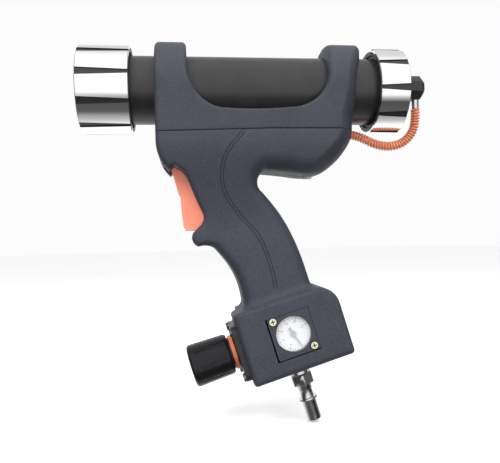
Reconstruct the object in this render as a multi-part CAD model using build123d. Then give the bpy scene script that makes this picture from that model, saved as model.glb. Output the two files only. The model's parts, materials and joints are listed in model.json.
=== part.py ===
from build123d import *
import math
import os

# Compressed-air caulking gun for rigid 310 ml cartridges (50 mm diameter, 215 mm long).
# Millimetres.  X runs along the barrel from the nozzle end (X = 0) to the rear cap,
# Y runs to the gun's right, Z is up.  The origin is the centre of the nozzle opening.

# ---------------------------------------------------------------- driving dimensions
CARTRIDGE_D = 50.0
TUBE_WALL = 1.5
TUBE_BORE_R = CARTRIDGE_D / 2 + 1.0
TUBE_R = TUBE_BORE_R + TUBE_WALL
TUBE_FRONT = 6.0
TUBE_REAR = 254.0

NUT_R = 35.5
NUT_SHELL = 2.0
NUT_WALL = 3.0
NUT_GROOVES = 10
FRONT_GROOVE_TURN = 8.5
REAR_GROOVE_TURN = 25.0
GROOVE_DEPTH = 1.0
GROOVE_WIDE = 6.2
GROOVE_NARROW = 3.1
THREAD_CLEARANCE = 0.3
THREAD_LENGTH = 13.5
FRONT_NUT_LENGTH = 40.0
NOZZLE_HOLE_R = 16.0
REAR_NUT_FRONT = 239.0
REAR_NUT_REAR = 264.0
REAR_HOLE_R = 20.0

# housing, side view
HOUSING_FRONT = 59.2
BAND_R = 38.7
BAND_SIDE = 36.0
SEAM_FRONT_Z = -39.5
SEAM_Z = -37.2
SEAM_BEND_X = 150.0
BODY_HALF = 33.5
GRIP_HALF = 19.5
SHELL_WALL = 2.8
SLOT_HALF = 11.5

# trigger
TRIGGER_HALF = 10.5
PIVOT = (79.0, -58.0)
PIN_R = 2.5
STEM_Z = -93.0

# regulator block at the foot of the grip, tilted with the knob axis
TILT = 16.5
BLOCK_ORIGIN = (125.2, 0.0, -215.6)
BLOCK_LENGTH = 86.2
BLOCK_TOP = 32.8
BLOCK_BOTTOM = -28.3
BLOCK_HALF = 26.0
KNOB_R = 17.6
KNOB_OUTER = -43.6
KNOB_INNER = -10.0
GAUGE_U = 42.2
GAUGE_V = 3.5
GAUGE_PLATE = 35.0
DIAL_R = 14.2
GAUGE_SCREW_DU = 13.2
GAUGE_SCREW_DV = 14.2
PLUG_U = 40.6

# fasteners
CRADLE_SCREWS = [(76.0, 20.0), (76.0, -20.0), (204.0, 20.0), (204.0, -20.0)]
SHELL_SCREWS = [(67.5, -54.5), (192.0, -57.0), (150.0, -60.5), (127.0, -137.0), (163.0, -140.0)]
BLOCK_SCREWS = [(7.5, -21.5), (78.5, -21.0), (79.0, 15.0)]
BONNET_SCREWS = [(-19.0, -16.0), (-19.0, 16.0), (19.0, -16.0), (19.0, 16.0)]

SILENCER_X = 184.0
OUTLET_U = 46.0
FLANGE_OUTER = -4.3
KNOB_RIBS = 8
KNOB_HUB = -31.5
NECK_END = -27.0
NECK_R = 13.0
LOCK_RING_R = 14.2
SCREW_R = 4.0
NEEDLE_ANGLE = -72.0

# trigger valve
VALVE_FRONT = 106.0
VALVE_REAR = 135.0
VALVE_R = 10.0
STEM_TIP = 93.9

# air hose at the rear: route of its centre line from the housing to the ferrule
HOSE_R = 2.8
GUARD_R = 4.0
OUTLET_LENGTH = 9.0
OUTLET_NECK = 3.9
HOSE_ROUTE = [(223.6, 0.0, -36.6), (231.8, 0.0, -38.4), (244.0, 0.0, -44.8), (257.5, 0.0, -47.2),
              (270.5, 0.0, -43.6), (279.4, 0.0, -34.0), (281.8, 0.0, -23.0), (281.8, 0.0, -13.7)]
ELBOW_X = 281.8
ELBOW_Z = 3.6
ELBOW_FLATS = 20.0
ELBOW_LENGTH = 22.2

BLOCK = Plane(origin=BLOCK_ORIGIN,
              x_dir=(math.cos(math.radians(TILT)), 0, math.sin(math.radians(TILT))),
              z_dir=(0, -1, 0))


# ---------------------------------------------------------------- helpers
def along_x(x0, x1, radius, z=0.0):
    """Solid cylinder with its axis along X."""
    axis = Plane(origin=(x0, 0, z), z_dir=(1, 0, 0))
    return extrude(axis * Circle(radius), x1 - x0)


def along_y(x, z, y0, y1, radius):
    """Solid cylinder with its axis along Y."""
    axis = Plane(origin=(x, y0, z), x_dir=(1, 0, 0), z_dir=(0, 1, 0))
    return extrude(axis * Circle(radius), y1 - y0)


def ring_x(x0, x1, outer, inner):
    """Plain ring round the barrel axis."""
    return along_x(x0, x1, outer) - along_x(x0 - 1, x1 + 1, inner)


def side_prism(curve, half_width):
    """Side-view outline (X, Z) made thick to both sides of the middle plane."""
    return extrude(Plane.XZ * make_face(curve), half_width, both=True)


def in_block(shape):
    """Moves a shape from the block's own frame: x into the block, y up, z to the gun's left."""
    return BLOCK.location * shape


def block_cylinder_u(u0, u1, radius, v=0.0, w=0.0):
    """Cylinder along the knob axis, in the block's frame."""
    axis = Plane(origin=(u0, v, w), z_dir=(1, 0, 0))
    return extrude(axis * Circle(radius), u1 - u0)


def block_cylinder_w(u, v, w0, w1, radius):
    """Cylinder across the block, in the block's frame."""
    return Pos(u, v, w0) * extrude(Circle(radius), w1 - w0)


def block_box(u0, u1, v0, v1, w0, w1):
    """Box in the block's frame."""
    return Pos((u0 + u1) / 2, (v0 + v1) / 2, (w0 + w1) / 2) * Box(u1 - u0, v1 - v0, w1 - w0)


def tube_along(points, radius, corner=None, hollow=0.0):
    """Round tube along straight runs joined by tangent arcs; returns it with its radii."""
    radii = []
    for before, here, after in zip(points, points[1:], points[2:]):
        into = Vector(*here) - Vector(*before)
        out = Vector(*after) - Vector(*here)
        half_turn = math.radians(into.get_angle(out)) / 2
        largest = 0.45 * min(into.length, out.length) / math.tan(half_turn)
        radii.append(largest if corner is None else min(largest, corner))
    path = FilletPolyline(*points, radius=radii)
    start = Plane(origin=path @ 0, z_dir=path % 0)
    section = Circle(radius)
    if hollow > 0:
        section = section - Circle(hollow)
    return sweep(start * section, path=path), radii, path.length


# ---------------------------------------------------------------- barrel and nuts
def barrel_tube():
    return ring_x(TUBE_FRONT, TUBE_REAR, TUBE_R, TUBE_BORE_R)


def nut_grooves(x_wide, x_narrow, turn):
    """Tapered grooves round a nut, widest at its outer end, the first one turned from the top."""
    bottom = NUT_R - GROOVE_DEPTH
    outline = Polyline((x_wide, -GROOVE_WIDE / 2), (x_narrow, -GROOVE_NARROW / 2),
                       (x_narrow, GROOVE_NARROW / 2), (x_wide, GROOVE_WIDE / 2), close=True)
    groove = Pos(0, 0, bottom) * extrude(make_face(outline), 4 * GROOVE_DEPTH)
    grooves = Part()
    for i in range(NUT_GROOVES):
        grooves += Rot(X=360 / NUT_GROOVES * i + turn) * groove
    return grooves


def front_nut():
    inner = NUT_R - NUT_SHELL
    shell = along_x(0, FRONT_NUT_LENGTH, NUT_R)
    shell = chamfer(shell.edges().filter_by(GeomType.CIRCLE), 0.6)
    shell -= along_x(NUT_WALL, FRONT_NUT_LENGTH + 1, inner)
    shell -= along_x(-1, NUT_WALL + 1, NOZZLE_HOLE_R)
    return shell - nut_grooves(-1.0, FRONT_NUT_LENGTH + 1.0, FRONT_GROOVE_TURN)


def front_nut_insert():
    start = FRONT_NUT_LENGTH - 0.5 - THREAD_LENGTH
    ring = ring_x(start, FRONT_NUT_LENGTH - 0.5, NUT_R - NUT_SHELL, TUBE_R + THREAD_CLEARANCE)
    return ring - along_x(FRONT_NUT_LENGTH - 2.0, FRONT_NUT_LENGTH, TUBE_R + 3.0)


def front_washer():
    return ring_x(NUT_WALL + 0.2, TUBE_FRONT - 0.4, TUBE_R + 2.5, NOZZLE_HOLE_R + 1.0)


def rear_nut():
    inner = NUT_R - NUT_SHELL
    shell = along_x(REAR_NUT_FRONT, REAR_NUT_REAR, NUT_R)
    shell = chamfer(shell.edges().filter_by(GeomType.CIRCLE), 0.6)
    shell -= along_x(REAR_NUT_FRONT - 1, REAR_NUT_REAR - NUT_WALL, inner)
    shell -= along_x(REAR_NUT_FRONT, REAR_NUT_REAR + 1, REAR_HOLE_R)
    return shell - nut_grooves(REAR_NUT_REAR + 1.0, REAR_NUT_FRONT - 1.0, REAR_GROOVE_TURN)


def rear_nut_insert():
    start = REAR_NUT_FRONT + 0.5
    ring = ring_x(start, start + THREAD_LENGTH, NUT_R - NUT_SHELL, TUBE_R + THREAD_CLEARANCE)
    return ring - along_x(REAR_NUT_FRONT, REAR_NUT_FRONT + 2.0, TUBE_R + 3.0)


def rear_end_plate():
    plate = along_x(TUBE_REAR + 0.2, REAR_NUT_REAR - NUT_WALL - 0.2, TUBE_R + 3.0)
    plate += along_x(TUBE_REAR - 8, TUBE_REAR + 1, TUBE_BORE_R - 0.3)
    plate -= ring_x(TUBE_REAR - 5.2, TUBE_REAR - 2.6, TUBE_BORE_R + 1, TUBE_BORE_R - 2.2)
    plate += along_x(TUBE_REAR + 2, REAR_NUT_REAR + 1.5, 9.0, ELBOW_Z)
    return plate - along_x(TUBE_REAR - 10, REAR_NUT_REAR + 10, 4.0, ELBOW_Z)


def rear_o_ring():
    section = Plane.XZ * Pos(TUBE_REAR - 3.9, TUBE_BORE_R - 1.15) * Circle(1.05)
    return revolve(section, Axis.X)


def cartridge_gasket():
    return ring_x(TUBE_REAR - 11, TUBE_REAR - 8, TUBE_BORE_R - 0.4, 20.0)


# ---------------------------------------------------------------- hose at the rear
def elbow():
    body_axis = Plane(origin=(REAR_NUT_REAR + 1.5, 0, ELBOW_Z), x_dir=(0, 1, 0), z_dir=(1, 0, 0))
    corner_r = ELBOW_FLATS / 2 / math.cos(math.pi / 8)
    body = extrude(body_axis * RegularPolygon(corner_r, 8, rotation=22.5), ELBOW_LENGTH)
    body = chamfer(body.faces().sort_by(Axis.X)[-1].edges(), 3.0)
    ramp = Polyline((283.6, -8.0), (290.0, 2.4), (290.0, -9.0), close=True)
    body -= side_prism(ramp, 20)
    body -= along_x(0, REAR_NUT_REAR + 12, 3.5, ELBOW_Z)
    bore = Pos(ELBOW_X, 0, -1.5) * Cylinder(3.2, 13)
    return body - bore


def hose_ferrule():
    top = ELBOW_Z - ELBOW_FLATS / 2 + 3.0
    bottom = HOSE_ROUTE[-1][2]
    sleeve = Pos(ELBOW_X, 0, (top + bottom) / 2) * Cylinder(3.1, top - bottom)
    bore = Pos(ELBOW_X, 0, (top + bottom) / 2) * Cylinder(2.0, top - bottom + 2)
    return sleeve - bore


def air_hose():
    return tube_along(HOSE_ROUTE, HOSE_R, hollow=1.8)


def hose_guard():
    return tube_along(HOSE_ROUTE, GUARD_R, hollow=HOSE_R)


def outlet_frame():
    """Frame at the housing's rear face, z pointing out along the hose."""
    start = Vector(*HOSE_ROUTE[0])
    toward = (Vector(*HOSE_ROUTE[1]) - start).normalized()
    return Plane(origin=start, x_dir=(0, 1, 0), z_dir=toward)


def hose_outlet_fitting():
    place = outlet_frame()
    fitting = extrude(place.offset(-OUTLET_NECK) * Circle(4.2), OUTLET_NECK - OUTLET_LENGTH)
    fitting += extrude(place * Circle(3.0), -OUTLET_LENGTH)
    return fitting - extrude(place.offset(1) * Circle(2.0), -OUTLET_LENGTH - 2)


# ---------------------------------------------------------------- housing
def cradle_outline():
    """Side view of the cradle, without its window."""
    return [Line((HOUSING_FRONT, SEAM_FRONT_Z), (HOUSING_FRONT, 35.7)),
            CenterArc((HOUSING_FRONT + 3, 35.7), 3, 90, 90),
            Line((HOUSING_FRONT + 3, BAND_R), (225.0, BAND_R)),
            Spline((225.0, BAND_R), (230.3, 30.0), (230.2, 6.0), (227.6, -12.5), (222.8, -28.0),
                   (220.0, SEAM_Z), tangents=[(1, 0), (-0.2, -1)]),
            Line((220.0, SEAM_Z), (SEAM_BEND_X, SEAM_Z)),
            Line((SEAM_BEND_X, SEAM_Z), (HOUSING_FRONT, SEAM_FRONT_Z))]


def window_outline():
    """Side view of the window between the two bands, open at the top."""
    top = BAND_R + 10
    return [Line((84.4, top), (84.4, 14.0)),
            EllipticalCenterArc((114.0, 14.0), 29.6, 35.3, 180, arc_size=90),
            ThreePointArc((114.0, -21.3), (140.0, -22.0), (165.0, -20.5)),
            EllipticalCenterArc((165.0, 8.0), 31.8, 28.5, 270, arc_size=90),
            Line((196.8, 8.0), (198.3, 29.0)),
            ThreePointArc((198.3, 29.0), (200.9, 35.6), (207.0, BAND_R)),
            Line((207.0, BAND_R), (207.0, top)),
            Line((207.0, top), (84.4, top))]


def cradle_section():
    """Front view (Y, Z) of the cradle: a round top on nearly flat sides."""
    low = SEAM_FRONT_Z - 5
    return [EllipticalCenterArc((0, 0), BAND_SIDE, BAND_R, 0, arc_size=90),
            EllipticalCenterArc((0, 0), BAND_SIDE, BAND_R, 90, arc_size=90),
            Line((-BAND_SIDE, 0), (-BODY_HALF, low)),
            Line((-BODY_HALF, low), (BODY_HALF, low)),
            Line((BODY_HALF, low), (BAND_SIDE, 0))]


def rear_rounding():
    """Plan view: flat front, and a rear end bowed backwards in the middle."""
    half = BAND_R + 2
    return [Line((HOUSING_FRONT - 1, -half), (205.0, -half)),
            ThreePointArc((205.0, -half), (231.0, 0), (205.0, half)),
            Line((205.0, half), (HOUSING_FRONT - 1, half)),
            Line((HOUSING_FRONT - 1, half), (HOUSING_FRONT - 1, -half))]


def plan_prism():
    return extrude(Plane.XY.offset(-200) * make_face(rear_rounding()), 260)


def barrel_cradle():
    block = side_prism(cradle_outline(), 45)
    front_view = Plane(origin=(0, 0, 0), x_dir=(0, 1, 0), z_dir=(1, 0, 0))
    block &= extrude(front_view * make_face(cradle_section()), 300)
    block &= plan_prism()
    block -= side_prism(window_outline(), 60)
    block -= along_x(0, 300, TUBE_R + 0.05)
    pocket = Pos(140, 0, -36) * Box(112, 56, 11)
    block -= pocket - along_x(0, 300, TUBE_R + 3)
    channel = Pos(204, 0, -37) * Box(20, 14, 16)
    block -= channel - along_x(0, 300, TUBE_R + 1.5)
    for x, y in CRADLE_SCREWS:
        block -= Pos(x, y, -36) * Cylinder(1.8, 14)
    block -= extrude(outlet_frame().offset(3) * Circle(4.3), -15)
    return block


def body_outline():
    """Side view of the lower body and grip, down into the regulator block."""
    front = [Line((SEAM_BEND_X, SEAM_Z), (HOUSING_FRONT, SEAM_FRONT_Z)),
             Line((HOUSING_FRONT, SEAM_FRONT_Z), (HOUSING_FRONT, -46.0)),
             ThreePointArc((HOUSING_FRONT, -46.0), (62.0, -59.0), (69.0, -68.6)),
             Line((69.0, -68.6), (72.6, -64.8)),
             Spline((72.6, -64.8), (80.8, -70.6), (84.8, -78.5), (89.4, -90.0), (95.0, -102.5))]
    hook = [ThreePointArc((95.0, -102.5), (95.2, -107.6), (92.6, -112.0)),
            Line((92.6, -112.0), (87.2, -117.6)),
            ThreePointArc((87.2, -117.6), (86.3, -124.0), (90.7, -129.0)),
            ThreePointArc((90.7, -129.0), (98.0, -128.4), (104.6, -131.0))]
    grip = [Spline((104.6, -131.0), (116.6, -146.3), (124.0, -163.0), (128.0, -184.0)),
            Line((128.0, -184.0), (186.0, -178.0)),
            Line((186.0, -178.0), (183.0, -165.5)),
            Spline((183.0, -165.5), (176.7, -143.4), (168.4, -122.1), (157.0, -102.0), (143.6, -85.8))]
    rear = [ThreePointArc((143.6, -85.8), (139.9, -75.0), (147.0, -68.2)),
            Spline((147.0, -68.2), (164.0, -70.0), (182.0, -72.2), (197.0, -70.0), (206.5, -59.5),
                   (215.5, -46.5), (220.0, SEAM_Z)),
            Line((220.0, SEAM_Z), (SEAM_BEND_X, SEAM_Z))]
    return front + hook + grip + rear


def body_section(inset=0.0):
    """Front view (Y, Z): wide body, smooth shoulder, narrower grip."""
    wide = BODY_HALF - inset
    slim = GRIP_HALF - inset
    return [Line((wide, -30.0), (wide, -46.0)),
            Spline((wide, -46.0), (slim + 7.0, -76.0), (slim, -112.0), tangents=[(0, -1), (0, -1)]),
            Line((slim, -112.0), (slim, -195.0)),
            Line((slim, -195.0), (-slim, -195.0)),
            Line((-slim, -195.0), (-slim, -112.0)),
            Spline((-slim, -112.0), (-slim - 7.0, -76.0), (-wide, -46.0), tangents=[(0, 1), (0, 1)]),
            Line((-wide, -46.0), (-wide, -30.0)),
            Line((-wide, -30.0), (wide, -30.0))]


def block_outline(inset=0.0):
    """Regulator block in its own frame: three small corners and one large."""
    left = inset
    right = BLOCK_LENGTH - inset
    top = BLOCK_TOP - inset
    bottom = BLOCK_BOTTOM + inset
    big = 18.0 - inset
    return [Line((left, bottom), (right, bottom)),
            Line((right, bottom), (right, top - big)),
            CenterArc((right - big, top - big), big, 0, 90),
            Line((right - big, top), (left, top)),
            Line((left, top), (left, bottom))]


def block_solid(inset=0.0):
    half = BLOCK_HALF - inset
    return in_block(extrude(make_face(block_outline(inset)), half, both=True))


def rounded_body():
    """Outside of the lower body, both shells in one."""
    front_view = Plane(origin=(0, 0, 0), x_dir=(0, 1, 0), z_dir=(1, 0, 0))
    body = side_prism(body_outline(), 45)
    body &= extrude(front_view * make_face(body_section()), 300)
    body &= plan_prism()
    back_edges = [e for e in body.edges() if is_back_edge(e)]
    body = fillet(back_edges, 6.0)
    front_edges = [e for e in body.edges() if is_front_edge(e)]
    return fillet(front_edges, 5.0)


def is_back_edge(edge):
    """Long side edges round the underside, the web of the hand and the back of the grip."""
    middle = edge.center()
    behind = middle.X > 135 and middle.Z < -50
    return behind and edge.length > 22 and 19.4 < abs(middle.Y) < 29


def is_front_edge(edge):
    """Side edges at the front of the body, above the trigger."""
    middle = edge.center()
    return middle.X < 64 and -62 < middle.Z < -50 and abs(middle.Y) > 31


def cavity_outline():
    """Side view of the space inside the shells, one wall thickness inside their outline."""
    front = [Line((62.2, -30.0), (62.2, -46.0)),
             Line((62.2, -46.0), (67.0, -61.0)),
             Line((67.0, -61.0), (73.0, -60.4)),
             Spline((73.0, -60.4), (83.0, -68.6), (92.4, -89.5), (97.9, -101.0))]
    hook = [ThreePointArc((97.9, -101.0), (98.2, -107.2), (95.4, -113.4)),
            Line((95.4, -113.4), (90.4, -119.4)),
            ThreePointArc((90.4, -119.4), (89.8, -123.6), (92.6, -126.0)),
            ThreePointArc((92.6, -126.0), (99.0, -125.4), (106.4, -128.6))]
    grip = [Spline((106.4, -128.6), (119.2, -145.0), (126.8, -162.4), (131.0, -186.0)),
            Line((131.0, -186.0), (183.0, -186.0)),
            Line((183.0, -186.0), (180.2, -166.2)),
            Spline((180.2, -166.2), (173.9, -144.4), (165.9, -123.6), (154.8, -103.8), (141.4, -87.7))]
    rear = [ThreePointArc((141.4, -87.7), (136.8, -75.6), (146.8, -65.2)),
            Spline((146.8, -65.2), (164.0, -67.0), (181.0, -69.2), (195.2, -67.2), (204.2, -57.4),
                   (212.4, -46.0), (216.6, -37.2)),
            Line((216.6, -37.2), (216.6, -30.0)),
            Line((216.6, -30.0), (62.2, -30.0))]
    return front + hook + grip + rear


def housing_cavity():
    """Space inside the two shells."""
    front_view = Plane(origin=(0, 0, 0), x_dir=(0, 1, 0), z_dir=(1, 0, 0))
    cavity = side_prism(cavity_outline(), 45)
    cavity &= extrude(front_view * make_face(body_section(SHELL_WALL)), 300)
    bow = Pos(-SHELL_WALL, 0, 0) * plan_prism()
    return cavity & bow


def shell_openings():
    """Everything cut through the shells where another piece passes."""
    slot = Polyline((66.5, -60.0), (72.6, -50.0), (90.0, -50.0), (104.5, -80.0), (104.5, -119.5),
                    (83.0, -119.5), (60.0, -119.5), (60.0, -66.5), close=True)
    cut = side_prism(slot, SLOT_HALF)
    cut += extrude(outlet_frame().offset(3) * Circle(4.3), -15)
    cut += along_y(PIVOT[0], PIVOT[1], -19.0, 19.0, PIN_R + 0.05)
    cut += Pos(SILENCER_X, 0, -72) * Cylinder(4.1, 16)
    cut += in_block(block_cylinder_u(-10, 20, 19.0))
    cut += in_block(Pos(PLUG_U, BLOCK_BOTTOM, 0) * Rot(X=90) * Cylinder(7.2, 20))
    plate_half = GAUGE_PLATE / 2 + 0.6
    cut += in_block(block_box(GAUGE_U - plate_half, GAUGE_U + plate_half, GAUGE_V - plate_half,
                              GAUGE_V + plate_half, BLOCK_HALF - 4.0, BLOCK_HALF + 5))
    cut += in_block(block_cylinder_w(GAUGE_U, GAUGE_V, 10, 30, 15.4))
    for v, w in BONNET_SCREWS:
        cut += in_block(block_cylinder_u(-1, 5, 1.85, v, w))
    return cut


def pivot_bosses():
    """Posts beside the trigger that carry its pin."""
    posts = along_y(PIVOT[0], PIVOT[1], SLOT_HALF, BODY_HALF - 4, 6.0)
    posts += along_y(PIVOT[0], PIVOT[1], -BODY_HALF + 4, -SLOT_HALF, 6.0)
    return posts


def valve_ribs(cavity):
    """Two plates across the grip that hold the valve body."""
    ribs = Part()
    for x in (VALVE_FRONT + 5, VALVE_REAR - 4):
        plate = Pos(x, 0, STEM_Z) * Box(2.4, 80, 26)
        ribs += plate & cavity
    return ribs - along_x(VALVE_FRONT - 2, VALVE_REAR + 2, VALVE_R + 0.05, STEM_Z)


def screw_posts(cavity):
    """Tubular posts for the screws that join the shells."""
    posts = Part()
    for x, z in SHELL_SCREWS:
        posts += along_y(x, z, -45, 45, 4.2) & cavity
    for u, v in BLOCK_SCREWS:
        posts += in_block(block_cylinder_w(u, v, -BLOCK_HALF + 2, BLOCK_HALF - 2, 4.2))
    return posts


def screw_place(x, z, half):
    """Right-hand outer face of the housing at a screw, and the screw's axis."""
    return Plane(origin=(x, half, z), x_dir=(1, 0, 0), z_dir=(0, 1, 0))


def screw_places():
    places = []
    for x, z in SHELL_SCREWS:
        half = body_half_width(z)
        places.append(screw_place(x, z, half))
    for u, v in BLOCK_SCREWS:
        spot = BLOCK.from_local_coords(Vector(u, v, 0))
        places.append(screw_place(spot.X, spot.Z, BLOCK_HALF))
    return places


def body_half_width(z):
    """Half width of the housing at a height, from its front view."""
    section = make_face(body_section())
    probe = Line((0, z), (BODY_HALF + 5, z))
    return (section & probe).edges()[0].length


def screw_holes(places):
    holes = Part()
    for place in places:
        holes += extrude(place.offset(1) * Circle(4.0), -4.0)
        holes += extrude(place.offset(-2) * Circle(1.8), -24)
    return holes


def housing_screws(places):
    screws = Part()
    for place in places:
        head = extrude(place.offset(-3.0) * Circle(3.6), 2.2)
        head -= extrude(place.offset(-1.8) * RegularPolygon(1.6, 6), 2)
        shank = extrude(place.offset(-3.0) * Circle(1.75), -20)
        screws += head + shank
    return screws


def cradle_lugs(cavity):
    """Blocks at the top of the shells that the cradle is screwed to."""
    lugs = Part()
    for x, y in CRADLE_SCREWS:
        lugs += Pos(x, y * 1.2, -43) * Box(11, 18, 10.5)
    return lugs & cavity & rounded_body()


def cradle_screws():
    screws = Part()
    for x, y in CRADLE_SCREWS:
        head = Pos(x, y, -49.6) * Cylinder(3.5, 2.4)
        head -= Pos(x, y, -50.8) * Cylinder(1.5, 2.4)
        screws += head + Pos(x, y, -40.2) * Cylinder(1.75, 16.4)
    return screws


def housing_shells():
    """Left and right shells, each with its half of the regulator block."""
    cavity = housing_cavity()
    block_inside = block_solid(SHELL_WALL)
    throat = in_block(block_box(12, 62, 20, BLOCK_TOP + 8, -GRIP_HALF + 3, GRIP_HALF - 3))
    body = rounded_body() + rounded_block()
    body -= cavity + block_inside
    body -= throat
    body += (pivot_bosses() & rounded_body()) + valve_ribs(cavity)
    body += screw_posts(cavity) & rounded_body() + rounded_block()
    lugs = cradle_lugs(cavity)
    for x, y in CRADLE_SCREWS:
        lugs -= Pos(x, y, -43) * Cylinder(1.8, 20)
    body += lugs
    body -= shell_openings()
    body -= screw_holes(screw_places())
    left = body & Pos(150, -50.02, -120) * Box(400, 100, 400)
    right = body & Pos(150, 50.02, -120) * Box(400, 100, 400)
    return largest(left), largest(right)


def largest(shape):
    """Keeps the one main solid of a shape."""
    return Part() + sorted(shape.solids(), key=lambda s: s.volume)[-1]


def rounded_block():
    half = BLOCK_HALF
    block = extrude(make_face(block_outline()), half, both=True)
    return in_block(fillet(block.edges(), 3.0))


def exhaust_silencer():
    return Pos(SILENCER_X, 0, -69.4) * Cylinder(4.0, 4.6)


# ---------------------------------------------------------------- trigger and valve
def trigger():
    front = [Line((69.6, -63.0), (73.7, -78.0)),
             Line((73.7, -78.0), (76.0, -86.0)),
             Line((76.0, -86.0), (77.2, -87.4)),
             Line((77.2, -87.4), (77.9, -100.4)),
             Line((77.9, -100.4), (79.3, -112.4)),
             Line((79.3, -112.4), (81.2, -115.8)),
             Line((81.2, -115.8), (88.5, -115.8))]
    back = [ThreePointArc((88.5, -115.8), (95.8, -111.0), (97.2, -103.5)),
            Line((97.2, -103.5), (93.5, -98.5)),
            Line((93.5, -98.5), (93.5, -88.0)),
            Line((93.5, -88.0), (84.8, -62.0)),
            ThreePointArc((84.8, -62.0), (79.0, -51.8), (72.8, -59.0)),
            Line((72.8, -59.0), (69.6, -63.0))]
    body = side_prism(front + back, TRIGGER_HALF)
    inner = Polyline((80.0, -68.0), (86.5, -68.0), (93.0, -84.5), (84.0, -84.5), close=True)
    body -= side_prism(inner, TRIGGER_HALF - 3)
    return body - along_y(PIVOT[0], PIVOT[1], -20, 20, PIN_R + 0.1)


def trigger_pin():
    return along_y(PIVOT[0], PIVOT[1], -18.5, 18.5, PIN_R)


def trigger_valve_body():
    body = along_x(VALVE_FRONT, VALVE_REAR, VALVE_R, STEM_Z)
    body -= along_x(VALVE_FRONT - 1, VALVE_FRONT + 5, 2.6, STEM_Z)
    body -= along_x(VALVE_FRONT + 5, VALVE_REAR - 3, 6.5, STEM_Z)
    body -= Pos(116, 0, STEM_Z - 8) * Cylinder(2.0, 8)
    body -= Pos(126, 0, STEM_Z + 8) * Cylinder(2.0, 8)
    return body


def valve_stem():
    """Pin that the trigger pushes, with the spool inside the valve."""
    stem = along_x(STEM_TIP + 2.5, VALVE_FRONT + 14, 2.5, STEM_Z)
    stem += Pos(STEM_TIP + 2.5, 0, STEM_Z) * Sphere(2.5)
    stem += along_x(VALVE_FRONT + 6, VALVE_FRONT + 13.5, 5.0, STEM_Z)
    for x in (VALVE_FRONT + 7.2, VALVE_FRONT + 10.4):
        stem -= along_x(x, x + 1.9, 8, STEM_Z) - along_x(x, x + 1.9, 3.9, STEM_Z)
    return stem


def valve_seals():
    seals = Part()
    for x in (VALVE_FRONT + 8.15, VALVE_FRONT + 11.35):
        seals += Pos(x, 0, STEM_Z) * Rot(Y=90) * Torus(5.5, 0.9)
    return seals


def coil_spring(radius, wire, pitch, length):
    """Compression spring along Z from the origin."""
    path = Helix(pitch, length - 2 * wire, radius)
    start = Plane(origin=path @ 0, z_dir=path % 0)
    coil = sweep(start * Circle(wire), path=path)
    return Pos(0, 0, wire) * coil


def valve_spring():
    start = VALVE_FRONT + 14.4
    length = VALVE_REAR - 3.2 - start
    place = Plane(origin=(start, 0, STEM_Z), z_dir=(1, 0, 0))
    return place.location * coil_spring(4.4, 0.45, 2.2, length)


def air_tube_lower():
    start = BLOCK.from_local_coords(Vector(OUTLET_U, 29.2, 0))
    second = BLOCK.from_local_coords(Vector(OUTLET_U, 45.0, 0))
    route = [(start.X, 0, start.Z), (second.X, 0, second.Z), (149.0, 0, -143.0), (124.0, 0, -124.0),
             (116.0, 0, -112.0), (116.0, 0, STEM_Z - VALVE_R)]
    return tube_along(route, 3.0, hollow=2.0)


def air_tube_upper():
    back = outlet_frame().offset(-OUTLET_LENGTH).origin
    toward = outlet_frame().offset(-OUTLET_LENGTH - 7).origin
    route = [(126.0, 0, STEM_Z + VALVE_R), (126.0, 0, -70.0), (138.0, 0, -54.0), (166.0, 0, -47.5),
             (193.0, 0, -43.0), (toward.X, 0, toward.Z), (back.X, 0, back.Z)]
    return tube_along(route, 3.0, hollow=2.0)


# ---------------------------------------------------------------- regulator, in the block's frame
def regulator_body():
    body = block_box(27.2, 66.0, -19.0, 19.0, -14.0, 14.0)
    body -= block_cylinder_u(26, 34, 11.0)
    body -= block_cylinder_u(33, 60, 6.0)
    body -= block_cylinder_u(59, 68, 8.0)
    body -= Pos(PLUG_U, -14, 0) * Rot(X=90) * Cylinder(6.7, 12)
    body -= Pos(OUTLET_U, 14, 0) * Rot(X=90) * Cylinder(3.2, 12)
    body -= block_cylinder_w(GAUGE_U, GAUGE_V, 8, 15, 4.6)
    return in_block(body)


def regulator_outlet_fitting():
    fitting = Pos(OUTLET_U, 24.1, 0) * Rot(X=90) * Cylinder(5.0, 10.2)
    fitting += Pos(OUTLET_U, 15.5, 0) * Rot(X=90) * Cylinder(3.1, 8)
    fitting -= Pos(OUTLET_U, 20, 0) * Rot(X=90) * Cylinder(1.6, 30)
    return in_block(fitting)


def regulator_bonnet():
    """Flange outside the block, spring housing inside it and a neck inside the knob."""
    flange = block_box(FLANGE_OUTER, 0, -23.0, 23.0, -21.0, 21.0)
    flange = fillet(flange.edges().filter_by(Axis.X), 6.0)
    body = block_cylinder_u(0, 25.0, 18.6) + block_cylinder_u(NECK_END, 0, NECK_R)
    bonnet = flange + body
    bonnet -= block_cylinder_u(-22.0, 26.0, 10.6)
    bonnet -= block_cylinder_u(-30.0, 0, 5.06)
    for v, w in BONNET_SCREWS:
        bonnet -= block_cylinder_u(FLANGE_OUTER - 1, 1, 1.85, v, w)
    return in_block(bonnet)


def diaphragm():
    disc = block_cylinder_u(25.2, 27.0, 18.6)
    return in_block(disc)


def spring_seat():
    """Nut that runs along the adjusting screw and presses on the spring."""
    seat = block_cylinder_u(-6.0, -1.0, 9.8) + block_cylinder_u(-1.0, 2.0, 6.2)
    return in_block(seat - block_cylinder_u(-7.0, 3.0, SCREW_R + 0.05))


def regulator_spring():
    place = Plane(origin=(-0.8, 0, 0), z_dir=(1, 0, 0))
    return in_block(place.location * coil_spring(7.6, 1.1, 4.4, 25.6))


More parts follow.
